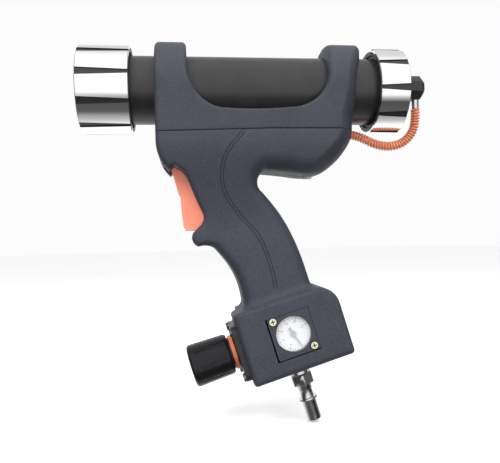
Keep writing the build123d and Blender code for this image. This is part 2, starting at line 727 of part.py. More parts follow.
def adjusting_screw():
    hexagon = Plane(origin=(-37.2, 0, 0), z_dir=(1, 0, 0))
    screw = extrude(hexagon * RegularPolygon(5.0, 6), 10.0)
    screw += block_cylinder_u(-27.2, -19.8, 5.0)
    screw += block_cylinder_u(-21.8, -19.8, 8.0)
    screw += block_cylinder_u(-19.8, 14.0, SCREW_R)
    return in_block(screw)


def knob():
    """Ribbed cap that turns the adjusting screw and slides in to lock."""
    profile = Polyline((KNOB_OUTER, 0), (KNOB_OUTER, KNOB_R), (KNOB_INNER - 2.0, KNOB_R - 0.9),
                       (KNOB_INNER, KNOB_R - 2.0), (KNOB_INNER, 0), close=True)
    body = revolve(make_face(profile), Axis.X)
    body = fillet(body.edges().filter_by(GeomType.CIRCLE).sort_by(Axis.X)[0], 2.6)
    body -= block_cylinder_u(KNOB_HUB, KNOB_INNER + 1, 14.9)
    hex_hole = Plane(origin=(-41.6, 0, 0), z_dir=(1, 0, 0))
    body -= extrude(hex_hole * RegularPolygon(5.1, 6), 12.0)
    recess = Pos(-24.2, 0, KNOB_R) * Box(23.6, 1.3, 2.0)
    recess = fillet(recess.edges().filter_by(Axis.Z), 0.4)
    for i in range(KNOB_RIBS):
        body -= Rot(X=360 / KNOB_RIBS * i) * recess
    return in_block(body)


def lock_ring():
    ring = block_cylinder_u(-8.4, -5.6, LOCK_RING_R) - block_cylinder_u(-9, -5, NECK_R + 0.05)
    return in_block(ring)


def poppet():
    valve = block_cylinder_u(28.2, 46.0, 1.6) + block_cylinder_u(44.0, 48.0, 4.6)
    return in_block(valve)


def poppet_spring():
    place = Plane(origin=(48.2, 0, 0), z_dir=(1, 0, 0))
    return in_block(place.location * coil_spring(3.6, 0.4, 2.2, 10.4))


def bottom_plug():
    plug = block_cylinder_u(59.0, 68.0, 7.9)
    slot = block_box(66.6, 70, -5, 5, -0.8, 0.8)
    return in_block(plug - slot)


def bonnet_screws():
    """Four pan-head screws through the flange."""
    screws = Part()
    for v, w in BONNET_SCREWS:
        head = block_cylinder_u(FLANGE_OUTER - 2.0, FLANGE_OUTER, 3.4, v, w)
        head -= block_box(FLANGE_OUTER - 2.5, FLANGE_OUTER - 1.2, v - 0.5, v + 0.5, w - 2.4, w + 2.4)
        head -= block_box(FLANGE_OUTER - 2.5, FLANGE_OUTER - 1.2, v - 2.4, v + 2.4, w - 0.5, w + 0.5)
        screws += head + block_cylinder_u(FLANGE_OUTER, 2.7, 1.75, v, w)
    return in_block(screws)


# ---------------------------------------------------------------- gauge
def gauge_case():
    half = GAUGE_PLATE / 2
    plate = block_box(GAUGE_U - half, GAUGE_U + half, GAUGE_V - half, GAUGE_V + half,
                      BLOCK_HALF - 3.6, BLOCK_HALF - 0.6)
    plate = fillet(plate.edges().filter_by(Axis.Z), 1.2)
    case = plate + block_cylinder_w(GAUGE_U, GAUGE_V, 14.5, BLOCK_HALF - 2, 15.0)
    case += block_cylinder_w(GAUGE_U, GAUGE_V, 9.5, 15, 4.5)
    case -= block_cylinder_w(GAUGE_U, GAUGE_V, BLOCK_HALF - 4.5, BLOCK_HALF + 2, DIAL_R + 0.1)
    case -= block_cylinder_w(GAUGE_U, GAUGE_V, 8, BLOCK_HALF, 1.2)
    for side in (-1, 1):
        u = GAUGE_U + side * GAUGE_SCREW_DU
        v = GAUGE_V - side * GAUGE_SCREW_DV
        case -= block_cylinder_w(u, v, BLOCK_HALF - 2.4, BLOCK_HALF + 2, 3.7)
        case -= block_cylinder_w(u, v, 5, BLOCK_HALF, 1.55)
    return in_block(case)


def gauge_dial():
    dial = block_cylinder_w(GAUGE_U, GAUGE_V, BLOCK_HALF - 4.5, BLOCK_HALF - 3.9, DIAL_R)
    return in_block(dial - block_cylinder_w(GAUGE_U, GAUGE_V, 0, 40, 1.2))


def gauge_needle():
    """Pointer with a ring hub, a short tail and a thin tip, at rest pointing down to the right."""
    top = BLOCK_HALF - 2.6
    hub = block_cylinder_w(0, 0, top - 0.5, top, 2.3)
    pointer = Polyline((0, -0.7), (12.0, -0.25), (12.0, 0.25), (0, 0.7), close=True)
    tail = Polyline((0, -0.7), (-5.5, -1.2), (-5.5, 1.2), (0, 0.7), close=True)
    hub += Pos(0, 0, top - 0.5) * extrude(make_face(pointer), 0.5)
    hub += Pos(0, 0, top - 0.5) * extrude(make_face(tail), 0.5)
    hub += block_cylinder_w(0, 0, 15.5, top, 0.9)
    return in_block(Pos(GAUGE_U, GAUGE_V, 0) * Rot(Z=NEEDLE_ANGLE) * hub)


def gauge_lens():
    lens = block_cylinder_w(GAUGE_U, GAUGE_V, BLOCK_HALF - 1.8, BLOCK_HALF - 0.6, DIAL_R)
    return in_block(lens)


def gauge_screws():
    """Two cross-head screws through opposite corners of the gauge plate."""
    screws = Part()
    for side in (-1, 1):
        u = GAUGE_U + side * GAUGE_SCREW_DU
        v = GAUGE_V - side * GAUGE_SCREW_DV
        floor = BLOCK_HALF - 2.4
        head = block_cylinder_w(u, v, floor, floor + 1.9, 2.9)
        for turn in (0, 90):
            head -= Pos(u, v, floor + 1.5) * Rot(Z=turn) * Box(3.6, 0.8, 1.4)
        screws += head + block_cylinder_w(u, v, floor - 9, floor, 1.45)
    return in_block(screws)


# ---------------------------------------------------------------- air plug
def inlet_plug():
    """Threaded shank, hexagon and the nose that a quick coupler grips."""
    down = Plane(origin=(PLUG_U, 0, 0), x_dir=(1, 0, 0), z_dir=(0, -1, 0))
    base = -BLOCK_BOTTOM
    steps = [(base - 17, base + 7.5, 6.5), (base + 15, base + 21, 6.0), (base + 20.5, base + 28, 5.5),
             (base + 28, base + 29.6, 7.9), (base + 29.6, base + 47.8, 6.0)]
    plug = extrude(down.offset(base + 7) * RegularPolygon(17 / math.sqrt(3), 6, rotation=30), 9.0)
    plug &= extrude(down.offset(base + 7) * Circle(9.6), 9.0)
    for near, far, radius in steps:
        plug += extrude(down.offset(near) * Circle(radius), far - near)
    tip = plug.faces().sort_by(Axis.Y)[0].edges()
    plug = chamfer(tip, 0.8)
    plug -= extrude(down.offset(base + 48) * Circle(3.4), -66)
    return in_block(plug)


def plug_washer():
    down = Plane(origin=(PLUG_U, 0, 0), x_dir=(1, 0, 0), z_dir=(0, -1, 0))
    washer = extrude(down.offset(-BLOCK_BOTTOM) * (Circle(9.0) - Circle(6.6)), 2.0)
    return in_block(washer)


# ---------------------------------------------------------------- write every sub-part
def main():
    os.makedirs("parts", exist_ok=True)
    left_shell, right_shell = housing_shells()
    hose, hose_radii, hose_length = air_hose()
    guard, guard_radii, guard_length = hose_guard()
    lower, lower_radii, lower_length = air_tube_lower()
    upper, upper_radii, upper_length = air_tube_upper()
    nodes = {
        "barrel_tube": barrel_tube(),
        "front_nut": front_nut(),
        "front_nut_insert": front_nut_insert(),
        "front_washer": front_washer(),
        "rear_nut": rear_nut(),
        "rear_nut_insert": rear_nut_insert(),
        "rear_end_plate": rear_end_plate(),
        "rear_o_ring": rear_o_ring(),
        "cartridge_gasket": cartridge_gasket(),
        "hose_elbow": elbow(),
        "hose_ferrule": hose_ferrule(),
        "air_hose": hose,
        "hose_guard": guard,
        "hose_outlet_fitting": hose_outlet_fitting(),
        "barrel_cradle": barrel_cradle(),
        "grip_left_shell": left_shell,
        "grip_right_shell": right_shell,
        "housing_screws": housing_screws(screw_places()),
        "cradle_screws": cradle_screws(),
        "exhaust_silencer": exhaust_silencer(),
        "trigger": trigger(),
        "trigger_pin": trigger_pin(),
        "valve_body": trigger_valve_body(),
        "valve_stem": valve_stem(),
        "valve_seals": valve_seals(),
        "valve_spring": valve_spring(),
        "air_tube_lower": lower,
        "air_tube_upper": upper,
        "regulator_body": regulator_body(),
        "regulator_outlet_fitting": regulator_outlet_fitting(),
        "regulator_bonnet": regulator_bonnet(),
        "bonnet_screws": bonnet_screws(),
        "diaphragm": diaphragm(),
        "spring_seat": spring_seat(),
        "regulator_spring": regulator_spring(),
        "adjusting_screw": adjusting_screw(),
        "lock_ring": lock_ring(),
        "regulator_knob": knob(),
        "regulator_poppet": poppet(),
        "poppet_spring": poppet_spring(),
        "regulator_bottom_plug": bottom_plug(),
        "gauge_case": gauge_case(),
        "gauge_dial": gauge_dial(),
        "gauge_needle": gauge_needle(),
        "gauge_lens": gauge_lens(),
        "gauge_screws": gauge_screws(),
        "inlet_plug": inlet_plug(),
        "plug_washer": plug_washer(),
    }
    for name, shape in nodes.items():
        export_step(shape, f"parts/{name}.step")
    hose_area = math.pi * (HOSE_R ** 2 - 1.8 ** 2)
    print("hose arc radii", [round(r, 1) for r in hose_radii], "length", round(hose_length, 1))
    print("hose volume", round(hose.volume), "section times length", round(hose_area * hose_length))
    print("lower tube radii", [round(r, 1) for r in lower_radii], "length", round(lower_length, 1))
    print("upper tube radii", [round(r, 1) for r in upper_radii], "length", round(upper_length, 1))


main()
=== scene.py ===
import json
import math
from functools import partial
import bpy
import bmesh
import numpy as np
from mathutils import Matrix, Vector
from mathutils.geometry import delaunay_2d_cdt


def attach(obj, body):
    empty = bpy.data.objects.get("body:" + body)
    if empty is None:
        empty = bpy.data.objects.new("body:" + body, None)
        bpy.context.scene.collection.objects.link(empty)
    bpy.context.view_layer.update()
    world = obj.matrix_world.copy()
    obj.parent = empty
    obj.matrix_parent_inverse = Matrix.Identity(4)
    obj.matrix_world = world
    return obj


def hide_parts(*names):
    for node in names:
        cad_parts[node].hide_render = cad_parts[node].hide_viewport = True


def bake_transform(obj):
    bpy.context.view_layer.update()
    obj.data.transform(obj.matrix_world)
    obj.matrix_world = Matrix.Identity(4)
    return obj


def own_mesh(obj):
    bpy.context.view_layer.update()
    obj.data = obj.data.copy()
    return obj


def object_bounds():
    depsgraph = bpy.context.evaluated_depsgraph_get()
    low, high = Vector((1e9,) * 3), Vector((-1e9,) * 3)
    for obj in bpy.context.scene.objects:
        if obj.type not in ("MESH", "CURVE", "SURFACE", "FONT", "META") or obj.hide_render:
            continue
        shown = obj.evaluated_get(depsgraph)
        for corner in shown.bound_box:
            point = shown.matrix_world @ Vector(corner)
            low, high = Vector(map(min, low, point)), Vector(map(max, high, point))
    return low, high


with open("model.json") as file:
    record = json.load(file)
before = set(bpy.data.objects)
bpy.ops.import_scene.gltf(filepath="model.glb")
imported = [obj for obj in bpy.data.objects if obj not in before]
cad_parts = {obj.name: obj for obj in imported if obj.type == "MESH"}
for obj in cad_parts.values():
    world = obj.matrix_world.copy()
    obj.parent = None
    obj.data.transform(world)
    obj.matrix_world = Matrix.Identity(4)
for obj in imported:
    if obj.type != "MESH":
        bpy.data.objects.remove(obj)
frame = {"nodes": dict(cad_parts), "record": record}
cad_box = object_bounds()
record = frame["record"]
nodes = frame["nodes"]
scene = bpy.context.scene
MM = 0.001

# ---------------------------------------------------------------- camera
CAMERA_AT = Vector((80.88, -454.0, -121.4)) * MM
CAMERA_YAW = math.radians(6.72)
CAMERA_PITCH = math.radians(0.483)
CAMERA_ROLL = math.radians(-1.334)


def make_camera():
    forward = Vector((math.sin(CAMERA_YAW) * math.cos(CAMERA_PITCH),
                      math.cos(CAMERA_YAW) * math.cos(CAMERA_PITCH), math.sin(CAMERA_PITCH)))
    level = Vector((math.cos(CAMERA_YAW), -math.sin(CAMERA_YAW), 0))
    rise = level.cross(forward)
    right = level * math.cos(CAMERA_ROLL) + rise * math.sin(CAMERA_ROLL)
    up = rise * math.cos(CAMERA_ROLL) - level * math.sin(CAMERA_ROLL)
    data = bpy.data.cameras.new("camera")
    data.lens = 39.24
    data.sensor_width = 36.0
    data.clip_start = 0.01
    camera = bpy.data.objects.new("camera", data)
    camera.matrix_world = Matrix.Translation(CAMERA_AT) @ Matrix((right, up, -forward)).transposed().to_4x4()
    scene.collection.objects.link(camera)
    scene.camera = camera


make_camera()

# ---------------------------------------------------------------- the air hose and its coil guard
HOSE_ROUTE = [(223.6, 0.0, -36.6), (231.8, 0.0, -38.4), (244.0, 0.0, -44.8), (257.5, 0.0, -47.2),
              (270.5, 0.0, -43.6), (279.4, 0.0, -34.0), (281.8, 0.0, -23.0), (281.8, 0.0, -13.7)]
HOSE_R = 2.8
GUARD_R = 4.0
GUARD_PITCH = 2.45
GUARD_WIRE = 0.85
GUARD_LEAD = 0.0038


def hose_line():
    """The hose's centre line: a smooth spline on the route's points, read back as even points."""
    data = bpy.data.curves.new("hose_line", "CURVE")
    data.dimensions = "3D"
    line = data.splines.new("NURBS")
    line.points.add(len(HOSE_ROUTE) - 1)
    for point, place in zip(line.points, HOSE_ROUTE):
        point.co = (*(Vector(place) * MM), 1.0)
    line.order_u = 3
    line.use_endpoint_u = True
    line.resolution_u = 24
    holder = bpy.data.objects.new("hose_line", data)
    scene.collection.objects.link(holder)
    mesh = bpy.data.meshes.new_from_object(holder)
    points = np.array([v.co for v in mesh.vertices])
    bpy.data.objects.remove(holder)
    along = np.r_[0, np.cumsum(np.linalg.norm(np.diff(points, axis=0), axis=1))]
    return points, along


def add_mesh(name, vertices, faces, smooth=True):
    mesh = bpy.data.meshes.new(name)
    mesh.from_pydata([tuple(map(float, v)) for v in vertices], [], [tuple(map(int, f)) for f in faces])
    mesh.validate()
    piece = bpy.data.objects.new(name, mesh)
    scene.collection.objects.link(piece)
    if smooth:
        mesh.polygons.foreach_set("use_smooth", [True] * len(mesh.polygons))
    return piece


def tube(name, points, radii, sides, up=(0, 1, 0)):
    """Closed round tube through the points, with a radius at each."""
    points = np.asarray(points, float)
    radii = np.broadcast_to(radii, len(points))
    tangents = np.gradient(points, axis=0)
    tangents /= np.linalg.norm(tangents, axis=1)[:, None]
    normal = np.cross(tangents, np.cross(np.array(up, float), tangents))
    normal /= np.linalg.norm(normal, axis=1)[:, None]
    side = np.cross(tangents, normal)
    turn = np.arange(sides) * 2 * math.pi / sides
    rings = points[:, None] + radii[:, None, None] * (
        np.cos(turn)[None, :, None] * normal[:, None] + np.sin(turn)[None, :, None] * side[:, None])
    vertices = rings.reshape(-1, 3)
    faces = []
    for i in range(len(points) - 1):
        for j in range(sides):
            k = (j + 1) % sides
            faces.append((i * sides + j, i * sides + k, (i + 1) * sides + k, (i + 1) * sides + j))
    last = (len(points) - 1) * sides
    faces.append(tuple(reversed(range(sides))))
    faces.append(tuple(range(last, last + sides)))
    return add_mesh(name, vertices, faces)


def hose_pieces():
    points, along = hose_line()
    total = along[-1]

    def at(distance):
        return np.stack([np.interp(distance, along, points[:, i]) for i in range(3)], axis=-1)

    even = at(np.linspace(0, total, 120))
    hose = tube("hose", even, HOSE_R * MM, 28)
    behind = points[0] - (points[1] - points[0]) / np.linalg.norm(points[1] - points[0]) * GUARD_LEAD
    points, along = np.vstack([behind, points]), np.r_[0, along + GUARD_LEAD]
    total = along[-1]
    turns = total / (GUARD_PITCH * MM)
    steps = np.linspace(0.0006, total - 0.0006, int(turns * 20))
    centre = at(steps)
    ahead = at(np.minimum(steps + 0.0002, total)) - at(np.maximum(steps - 0.0002, 0))
    ahead /= np.linalg.norm(ahead, axis=1)[:, None]
    across = np.array([0.0, 1.0, 0.0])
    lift = np.cross(ahead, across)
    angle = steps / total * turns * 2 * math.pi
    reach = (GUARD_R - GUARD_WIRE) * MM
    helix = centre + reach * (np.cos(angle)[:, None] * across + np.sin(angle)[:, None] * lift)
    guard = tube("hose_coil_guard", helix, GUARD_WIRE * MM, 10, up=(0.31, 0.2, 0.93))
    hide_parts("air_hose")
    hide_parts("hose_guard")
    for piece in (hose, guard):
        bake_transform(piece)
    return hose, guard


hose, guard = hose_pieces()


# ---------------------------------------------------------------- side-view curves, in millimetres
def spline(points, step=1.2):
    """Smooth cubic curve through a few points, with free ends."""
    p = np.array(points, float)
    chord = np.linalg.norm(np.diff(p, axis=0), axis=1)
    t = np.r_[0, np.cumsum(chord)]
    n = len(p)
    a = np.zeros((n, n))
    b = np.zeros((n, 2))
    for i in range(1, n - 1):
        a[i, i - 1], a[i, i], a[i, i + 1] = chord[i], 2 * (chord[i - 1] + chord[i]), chord[i - 1]
        b[i] = 3 * (chord[i] * (p[i] - p[i - 1]) / chord[i - 1] + chord[i - 1] * (p[i + 1] - p[i]) / chord[i])
    a[0, :2], b[0] = (2, 1), 3 * (p[1] - p[0]) / chord[0]
    a[-1, -2:], b[-1] = (1, 2), 3 * (p[-1] - p[-2]) / chord[-1]
    slope = np.linalg.solve(a, b)
    out = []
    for i in range(n - 1):
        count = max(2, int(round(chord[i] / step)))
        u = np.arange(count)[:, None] / count
        h = chord[i]
        out.append((2 * u ** 3 - 3 * u ** 2 + 1) * p[i] + (u ** 3 - 2 * u ** 2 + u) * h * slope[i]
                   + (3 * u ** 2 - 2 * u ** 3) * p[i + 1] + (u ** 3 - u ** 2) * h * slope[i + 1])
    return np.vstack(out + [p[-1:]])


def line(start, end, step=1.2):
    count = max(1, int(round(math.dist(start, end) / step)))
    u = np.linspace(0, 1, count + 1)[:, None]
    return (1 - u) * np.array(start, float) + u * np.array(end, float)


def arc(start, middle, end, step=1.0):
    """Circular arc through three points."""
    (ax, ay), (bx, by), (cx, cy) = start, middle, end
    d = 2 * (ax * (by - cy) + bx * (cy - ay) + cx * (ay - by))
    a2, b2, c2 = ax * ax + ay * ay, bx * bx + by * by, cx * cx + cy * cy
    ox = (a2 * (by - cy) + b2 * (cy - ay) + c2 * (ay - by)) / d
    oy = (a2 * (cx - bx) + b2 * (ax - cx) + c2 * (bx - ax)) / d
    radius = math.hypot(ax - ox, ay - oy)
    first = math.atan2(ay - oy, ax - ox)
    swing = (math.atan2(cy - oy, cx - ox) - first) % (2 * math.pi)
    through = (math.atan2(by - oy, bx - ox) - first) % (2 * math.pi)
    if through > swing:
        swing -= 2 * math.pi
    count = max(4, int(round(abs(swing) * radius / step)))
    angle = first + np.linspace(0, swing, count + 1)
    return np.stack([ox + radius * np.cos(angle), oy + radius * np.sin(angle)], axis=1)


def quarter_ellipse(centre, half_x, half_z, start, swing, step=1.2):
    """Part of an ellipse; start and swing are angles in degrees."""
    count = max(6, int(abs(math.radians(swing)) * max(half_x, half_z) / step))
    angle = np.radians(start + np.linspace(0, swing, count + 1))
    return np.stack([centre[0] + half_x * np.cos(angle), centre[1] + half_z * np.sin(angle)], axis=1)


def distance_to(points, path):
    """Distance from each point to a polyline, and the place along it, as a fraction of its index."""
    p, a, b = points[:, None], path[None, :-1], path[None, 1:]
    along = b - a
    t = ((p - a) * along).sum(-1) / np.maximum((along ** 2).sum(-1), 1e-12)
    t = np.clip(t, 0, 1)
    gap = np.linalg.norm(p - (a + t[..., None] * along), axis=-1)
    nearest = gap.argmin(1)
    rows = np.arange(len(points))
    return gap[rows, nearest], nearest + t[rows, nearest]


def smoothstep(x):
    x = np.clip(x, 0, 1)
    return x * x * (3 - 2 * x)


# ---------------------------------------------------------------- moulded halves
class Outline:
    """Closed side-view outline made of runs, each with its edge radius at both ends, or at every
    point, and a kind: edge (rounded), seam (a thin broken corner) or mirror (where halves meet)."""

    def __init__(self, runs):
        points, radii, kinds = [], [], []
        for run, first, last, kind in runs:
            points.append(run[:-1])
            radii.append(first[:-1] if last is None else np.linspace(first, last, len(run))[:-1])
            kinds += [kind] * (len(run) - 1)
        self.points = np.vstack(points)
        self.kinds = np.array(kinds)
        self.radii = self.blended(np.concatenate(radii))

    def blended(self, radii):
        """Edge radii that change smoothly from run to run."""
        edge = self.kinds == "edge"
        out = radii.copy()
        for _ in range(12):
            both = np.roll(edge, 1) & np.roll(edge, -1) & edge
            mean = (np.roll(out, 1) + out + np.roll(out, -1)) / 3
            out = np.where(both, mean, out)
        return out

    def normals(self):
        """Inward normals, for a loop that runs anticlockwise."""
        ahead = np.roll(self.points, -1, axis=0) - np.roll(self.points, 1, axis=0)
        ahead /= np.linalg.norm(ahead, axis=1)[:, None]
        return np.stack([-ahead[:, 1], ahead[:, 0]], axis=1)

    def paths(self, kind):
        """Each unbroken stretch of one kind, with its radii."""
        n = len(self.points)
        use = self.kinds == kind
        if not use.any():
            return []
        if use.all():
            order = np.arange(n + 1) % n
            return [(self.points[order], self.radii[order])]
        first = next(i for i in range(n) if use[i] and not use[i - 1])
        stretches, current = [], []
        for i in range(first, first + n + 1):
            k = i % n
            if use[k] and i < first + n:
                current.append(k)
            elif current:
                stretches.append(current + [k])
                current = []
        return [(self.points[s], self.radii[np.r_[s[:-1], s[-2]]]) for s in stretches]

    def measure(self, at, kind):
        """Distance to the nearest stretch of a kind and the edge radius there."""
        best = np.full(len(at), 1e6)
        radius = np.full(len(at), 0.5)
        for path, radii in self.paths(kind):
            gap, place = distance_to(at, path)
            r = np.interp(place, np.arange(len(path)), radii)
            closer = gap < best
            best = np.where(closer, gap, best)
            radius = np.where(closer, r, radius)
        return best, radius


def rounding(gap, radius):
    """How far a rounded edge drops at a distance from it."""
    inside = np.clip(radius - gap, 0, None)
    return radius - np.sqrt(np.maximum(radius ** 2 - inside ** 2, 0))


def nearest(points, others):
    """Distance from each point to the nearest of the others."""
    return np.array([np.sqrt(((others - p) ** 2).sum(1).min()) for p in points])


def skin_points(outline, spacing, groove=None, rows=None):
    """Points for a skin: rings that follow the rounded edges, finer rows where asked, then an even field."""
    normals = outline.normals()
    rings = []
    for kind, steps in (("edge", 7), ("seam", 3)):
        use = outline.kinds == kind
        for k in range(1, steps + 1):
            reach = outline.radii[use] * (1 - math.cos(math.pi / 2 * k / steps))
            ring = outline.points[use] + normals[use] * reach[:, None]
            keep = np.ones(len(ring), bool)
            for other in ("edge", "seam", "mirror"):
                gap, _ = outline.measure(ring, other)
                keep &= gap > (reach * 0.93 if other == kind else np.minimum(0.12, reach))
            rings.append(ring[keep])
    low, high = outline.points.min(0), outline.points.max(0)
    xs = np.arange(low[0], high[0], spacing)
    ys = np.arange(low[1], high[1], spacing * 0.87)
    field = np.array([(x + (j % 2) * spacing / 2, y) for j, y in enumerate(ys) for x in xs])
    gap, radius = outline.measure(field, "edge")
    seam_gap, _ = outline.measure(field, "seam")
    mirror_gap, _ = outline.measure(field, "mirror")
    keep = (gap > radius + spacing * 0.45) & (seam_gap > spacing * 0.55) & (mirror_gap > spacing * 0.4)
    if rows is not None:
        away, _ = outline.measure(rows, "edge")
        near = nearest(rows, np.vstack(rings))
        rows = rows[(away > 0.8) & (near > 0.8)]
        keep &= nearest(field, rows) > 1.4
        rings.append(rows)
    if groove is not None:
        offsets = (-2.2, -1.6, -1.38, -1.16, -0.94, -0.72, 0.0, 0.72, 0.94, 1.16, 1.38, 1.6, 2.2)
        ahead = np.gradient(groove, axis=0)
        ahead /= np.linalg.norm(ahead, axis=1)[:, None]
        side = np.stack([-ahead[:, 1], ahead[:, 0]], axis=1)
        lines = np.vstack([groove + side * o for o in offsets])
        away, _ = distance_to(lines, outline.points)
        rings = [ring[distance_to(ring, groove)[0] > 2.3] for ring in rings] + [lines[away > 0.3]]
        keep &= distance_to(field, groove)[0] > 3.0
    return np.vstack(rings + [field[keep]])


def triangulate(outline, inner):
    """Triangles inside the outline; returns points, triangles and the outline's own indices."""
    n = len(outline)
    given = [Vector(p) for p in np.vstack([outline, inner])]
    edges = [(i, (i + 1) % n) for i in range(n)]
    points, _, faces, origin, _, _ = delaunay_2d_cdt(given, edges, [], 1, 1e-4)
    where = {}
    for i, sources in enumerate(origin):
        for s in sources:
            where[s] = i
    return np.array([tuple(p) for p in points]), [tuple(f) for f in faces], [where[i] for i in range(n)]


def half_solid(outline, place, spacing=2.8, columns=6, groove=None, rows=None, relief=None, warp=None,
               cap=True, lip=0.0, beyond=0.0):
    """One moulded half, from its outer skin to the middle plane.
    place turns (first, second, depth) into (X, Y, Z) with the half on the negative Y side, relief cuts
    into the skin, lip breaks the corner at the middle plane, and warp bends the finished half."""
    inner = skin_points(outline, spacing, groove, rows)
    flat, faces, loop = triangulate(outline.points, inner)
    gap, radius = outline.measure(flat, "edge")
    seam_gap, seam_radius = outline.measure(flat, "seam")
    depth = np.maximum(rounding(gap, radius), rounding(seam_gap, seam_radius))
    if relief is not None:
        depth = depth + relief(flat)
    skin = place(flat[:, 0], flat[:, 1], depth)
    edge = skin[loop]
    side = []
    for share in np.linspace(0, 1, columns + 1)[1:]:
        ring = edge.copy()
        ring[:, 1] = edge[:, 1] * (1 - share) + beyond * share
        side.append(ring)
    if lip:
        broken = edge.copy()
        broken[:, 1] = np.maximum(edge[:, 1], -lip)
        side.insert(-1, broken)
        side[-1][:, [0, 2]] += outline.normals() * lip
    n = len(edge)
    rings = [np.array(loop)] + [len(skin) + i * n + np.arange(n) for i in range(len(side))]
    for near, far in zip(rings, rings[1:]):
        faces += [(near[i], near[(i + 1) % n], far[(i + 1) % n], far[i]) for i in range(n)]
    if cap:
        faces.append(tuple(rings[-1]))
    vertices = np.vstack([skin, *side])
    return (vertices if warp is None else warp(vertices)), faces


def between(near, far):
    """Closed solid between two rings of points."""
    n = len(near)
    faces = [(i, (i + 1) % n, n + (i + 1) % n, n + i) for i in range(n)]
    faces += [tuple(reversed(range(n))), tuple(range(n, 2 * n))]
    return np.vstack([near, far]), faces


def cylinder_solid(start, end, radius, sides=64):
    """Closed cylinder between two points."""
    start, end = np.array(start, float), np.array(end, float)
    axis = (end - start) / np.linalg.norm(end - start)
    helper = np.array([0, 0, 1.0]) if abs(axis[2]) < 0.9 else np.array([1.0, 0, 0])
    side = np.cross(axis, helper)
    side /= np.linalg.norm(side)
    other = np.cross(axis, side)
    turn = np.arange(sides) * 2 * math.pi / sides
    ring = radius * (np.cos(turn)[:, None] * side + np.sin(turn)[:, None] * other)
    return between(start + ring, end + ring)


def prism_solid(outline, y0, y1):
    """Side-view polygon (X, Z) made thick between two Y values."""
    return between(*[np.array([(x, y, z) for x, z in outline]) for y in (y0, y1)])


def solid_object(name, solids):
    """One object from several closed solids given in millimetres, faces turned outwards."""
    mesh = bpy.data.meshes.new(name)
    work = bmesh.new()
    for vertices, faces in solids:
        made = [work.verts.new(Vector(v) * MM) for v in vertices]
        for face in faces:
            corners = [made[i] for i in dict.fromkeys(face)]
            if len(corners) > 2:
                work.faces.new(corners)
    bmesh.ops.remove_doubles(work, verts=work.verts, dist=1e-7)
    bmesh.ops.dissolve_degenerate(work, edges=work.edges, dist=1e-7)
    bmesh.ops.recalc_face_normals(work, faces=work.faces)
    work.to_mesh(mesh)
    work.free()
    piece = bpy.data.objects.new(name, mesh)
    scene.collection.objects.link(piece)
    return piece


def boolean(target, cutter, operation):
    """Applies one exact boolean and removes the cutter."""
    modifier = target.modifiers.new("cut", "BOOLEAN")
    modifier.operation = operation
    modifier.object = cutter
    modifier.solver = "EXACT"
    modifier.use_self = True
    bpy.context.view_layer.update()
    graph = bpy.context.evaluated_depsgraph_get()
    mesh = bpy.data.meshes.new_from_object(target.evaluated_get(graph))
    target.modifiers.clear()
    target.data = mesh
    bpy.data.objects.remove(cutter)


def smooth_shading(piece):
    mesh = piece.data
    mesh.polygons.foreach_set("use_smooth", [True] * len(mesh.polygons))
    mesh.set_sharp_from_angle(angle=math.radians(32))


def mirrored(solid):
    vertices, faces = solid
    return vertices * np.array([1, -1, 1]), [tuple(reversed(f)) for f in faces]


# ---------------------------------------------------------------- housing shapes
HOUSING_FRONT = 59.2
BAND_SIDE = 36.0
BAND_TOP = 38.7
SEAM_LEFT = (59.2, -39.5)
SEAM_BEND = (150.0, -37.2)
SEAM_RIGHT = (222.4, -37.2)
BODY_HALF = 33.5
GRIP_HALF = 19.5
FLARE_R = 6.0
SHELL_WALL = 2.8
SEAM_RADIUS = 0.8
REAR_BOW = 0.012
TUBE_R = 27.5
BLOCK_AT = np.array([125.2, -215.6])
TILT = math.radians(16.5)
BLOCK_U = np.array([math.cos(TILT), math.sin(TILT)])
BLOCK_V = np.array([-math.sin(TILT), math.cos(TILT)])
BLOCK_LENGTH = 86.2
BLOCK_TOP = 32.8
BLOCK_BOTTOM = -28.3
BLOCK_HALF = 26.0
GAUGE_U, GAUGE_V = 42.2, 3.5
GAUGE_PLATE = 35.0
GAUGE_HOLE_R = 15.4
BLOCK_CORNER = 3.2
RIGHT_BLOCK_CORNER = 14.0
PLUG_U = 40.6
PLUG_HOLE_R = 7.2
BONNET_HOLE_R = 19.0
OUTLET_HOLE_R = 4.3
SILENCER_X = 184.0
SILENCER_R = 3.95
SILENCER_FACE = -73.9
TRIGGER_SLOT = [(66.5, -60.0), (72.6, -50.0), (90.0, -50.0), (104.5, -80.0), (104.5, -119.5),
                (83.0, -119.5), (60.0, -119.5), (60.0, -66.5)]
SHELL_SCREWS = [(67.5, -54.5), (192.0, -57.0), (150.0, -60.5), (127.0, -137.0), (163.0, -140.0)]
BLOCK_SCREWS = [(7.5, -21.5), (78.5, -21.0), (79.0, 15.0)]
SCREW_HOLE_R = 4.0

REAR_EDGE = spline([(200.0, -67.0), (207.8, -60.6), (215.4, -51.8), (220.7, -43.0), (222.4, -37.2),
                    (222.8, -28.0), (227.6, -12.5), (230.2, 6.0), (230.4, 30.0), (230.5, 38.7)])
S_GROOVE = spline([(127.4, -39.4), (121.0, -46.7), (115.3, -53.9), (111.6, -62.0), (110.1, -71.1),
                   (110.7, -80.1), (113.7, -89.2), (118.9, -97.4), (125.1, -105.7), (132.9, -113.9),
                   (139.3, -122.4), (143.7, -131.7), (147.2, -141.9), (150.6, -155.0), (152.2, -165.3)])


def in_block(u, v):
    """Side-view place of a point of the block's own frame."""
    return BLOCK_AT + np.multiply.outer(u, BLOCK_U) + np.multiply.outer(v, BLOCK_V)


def block_point(u, v, w=0.0):
    x, z = in_block(u, v)
    return np.array([x, -w, z])


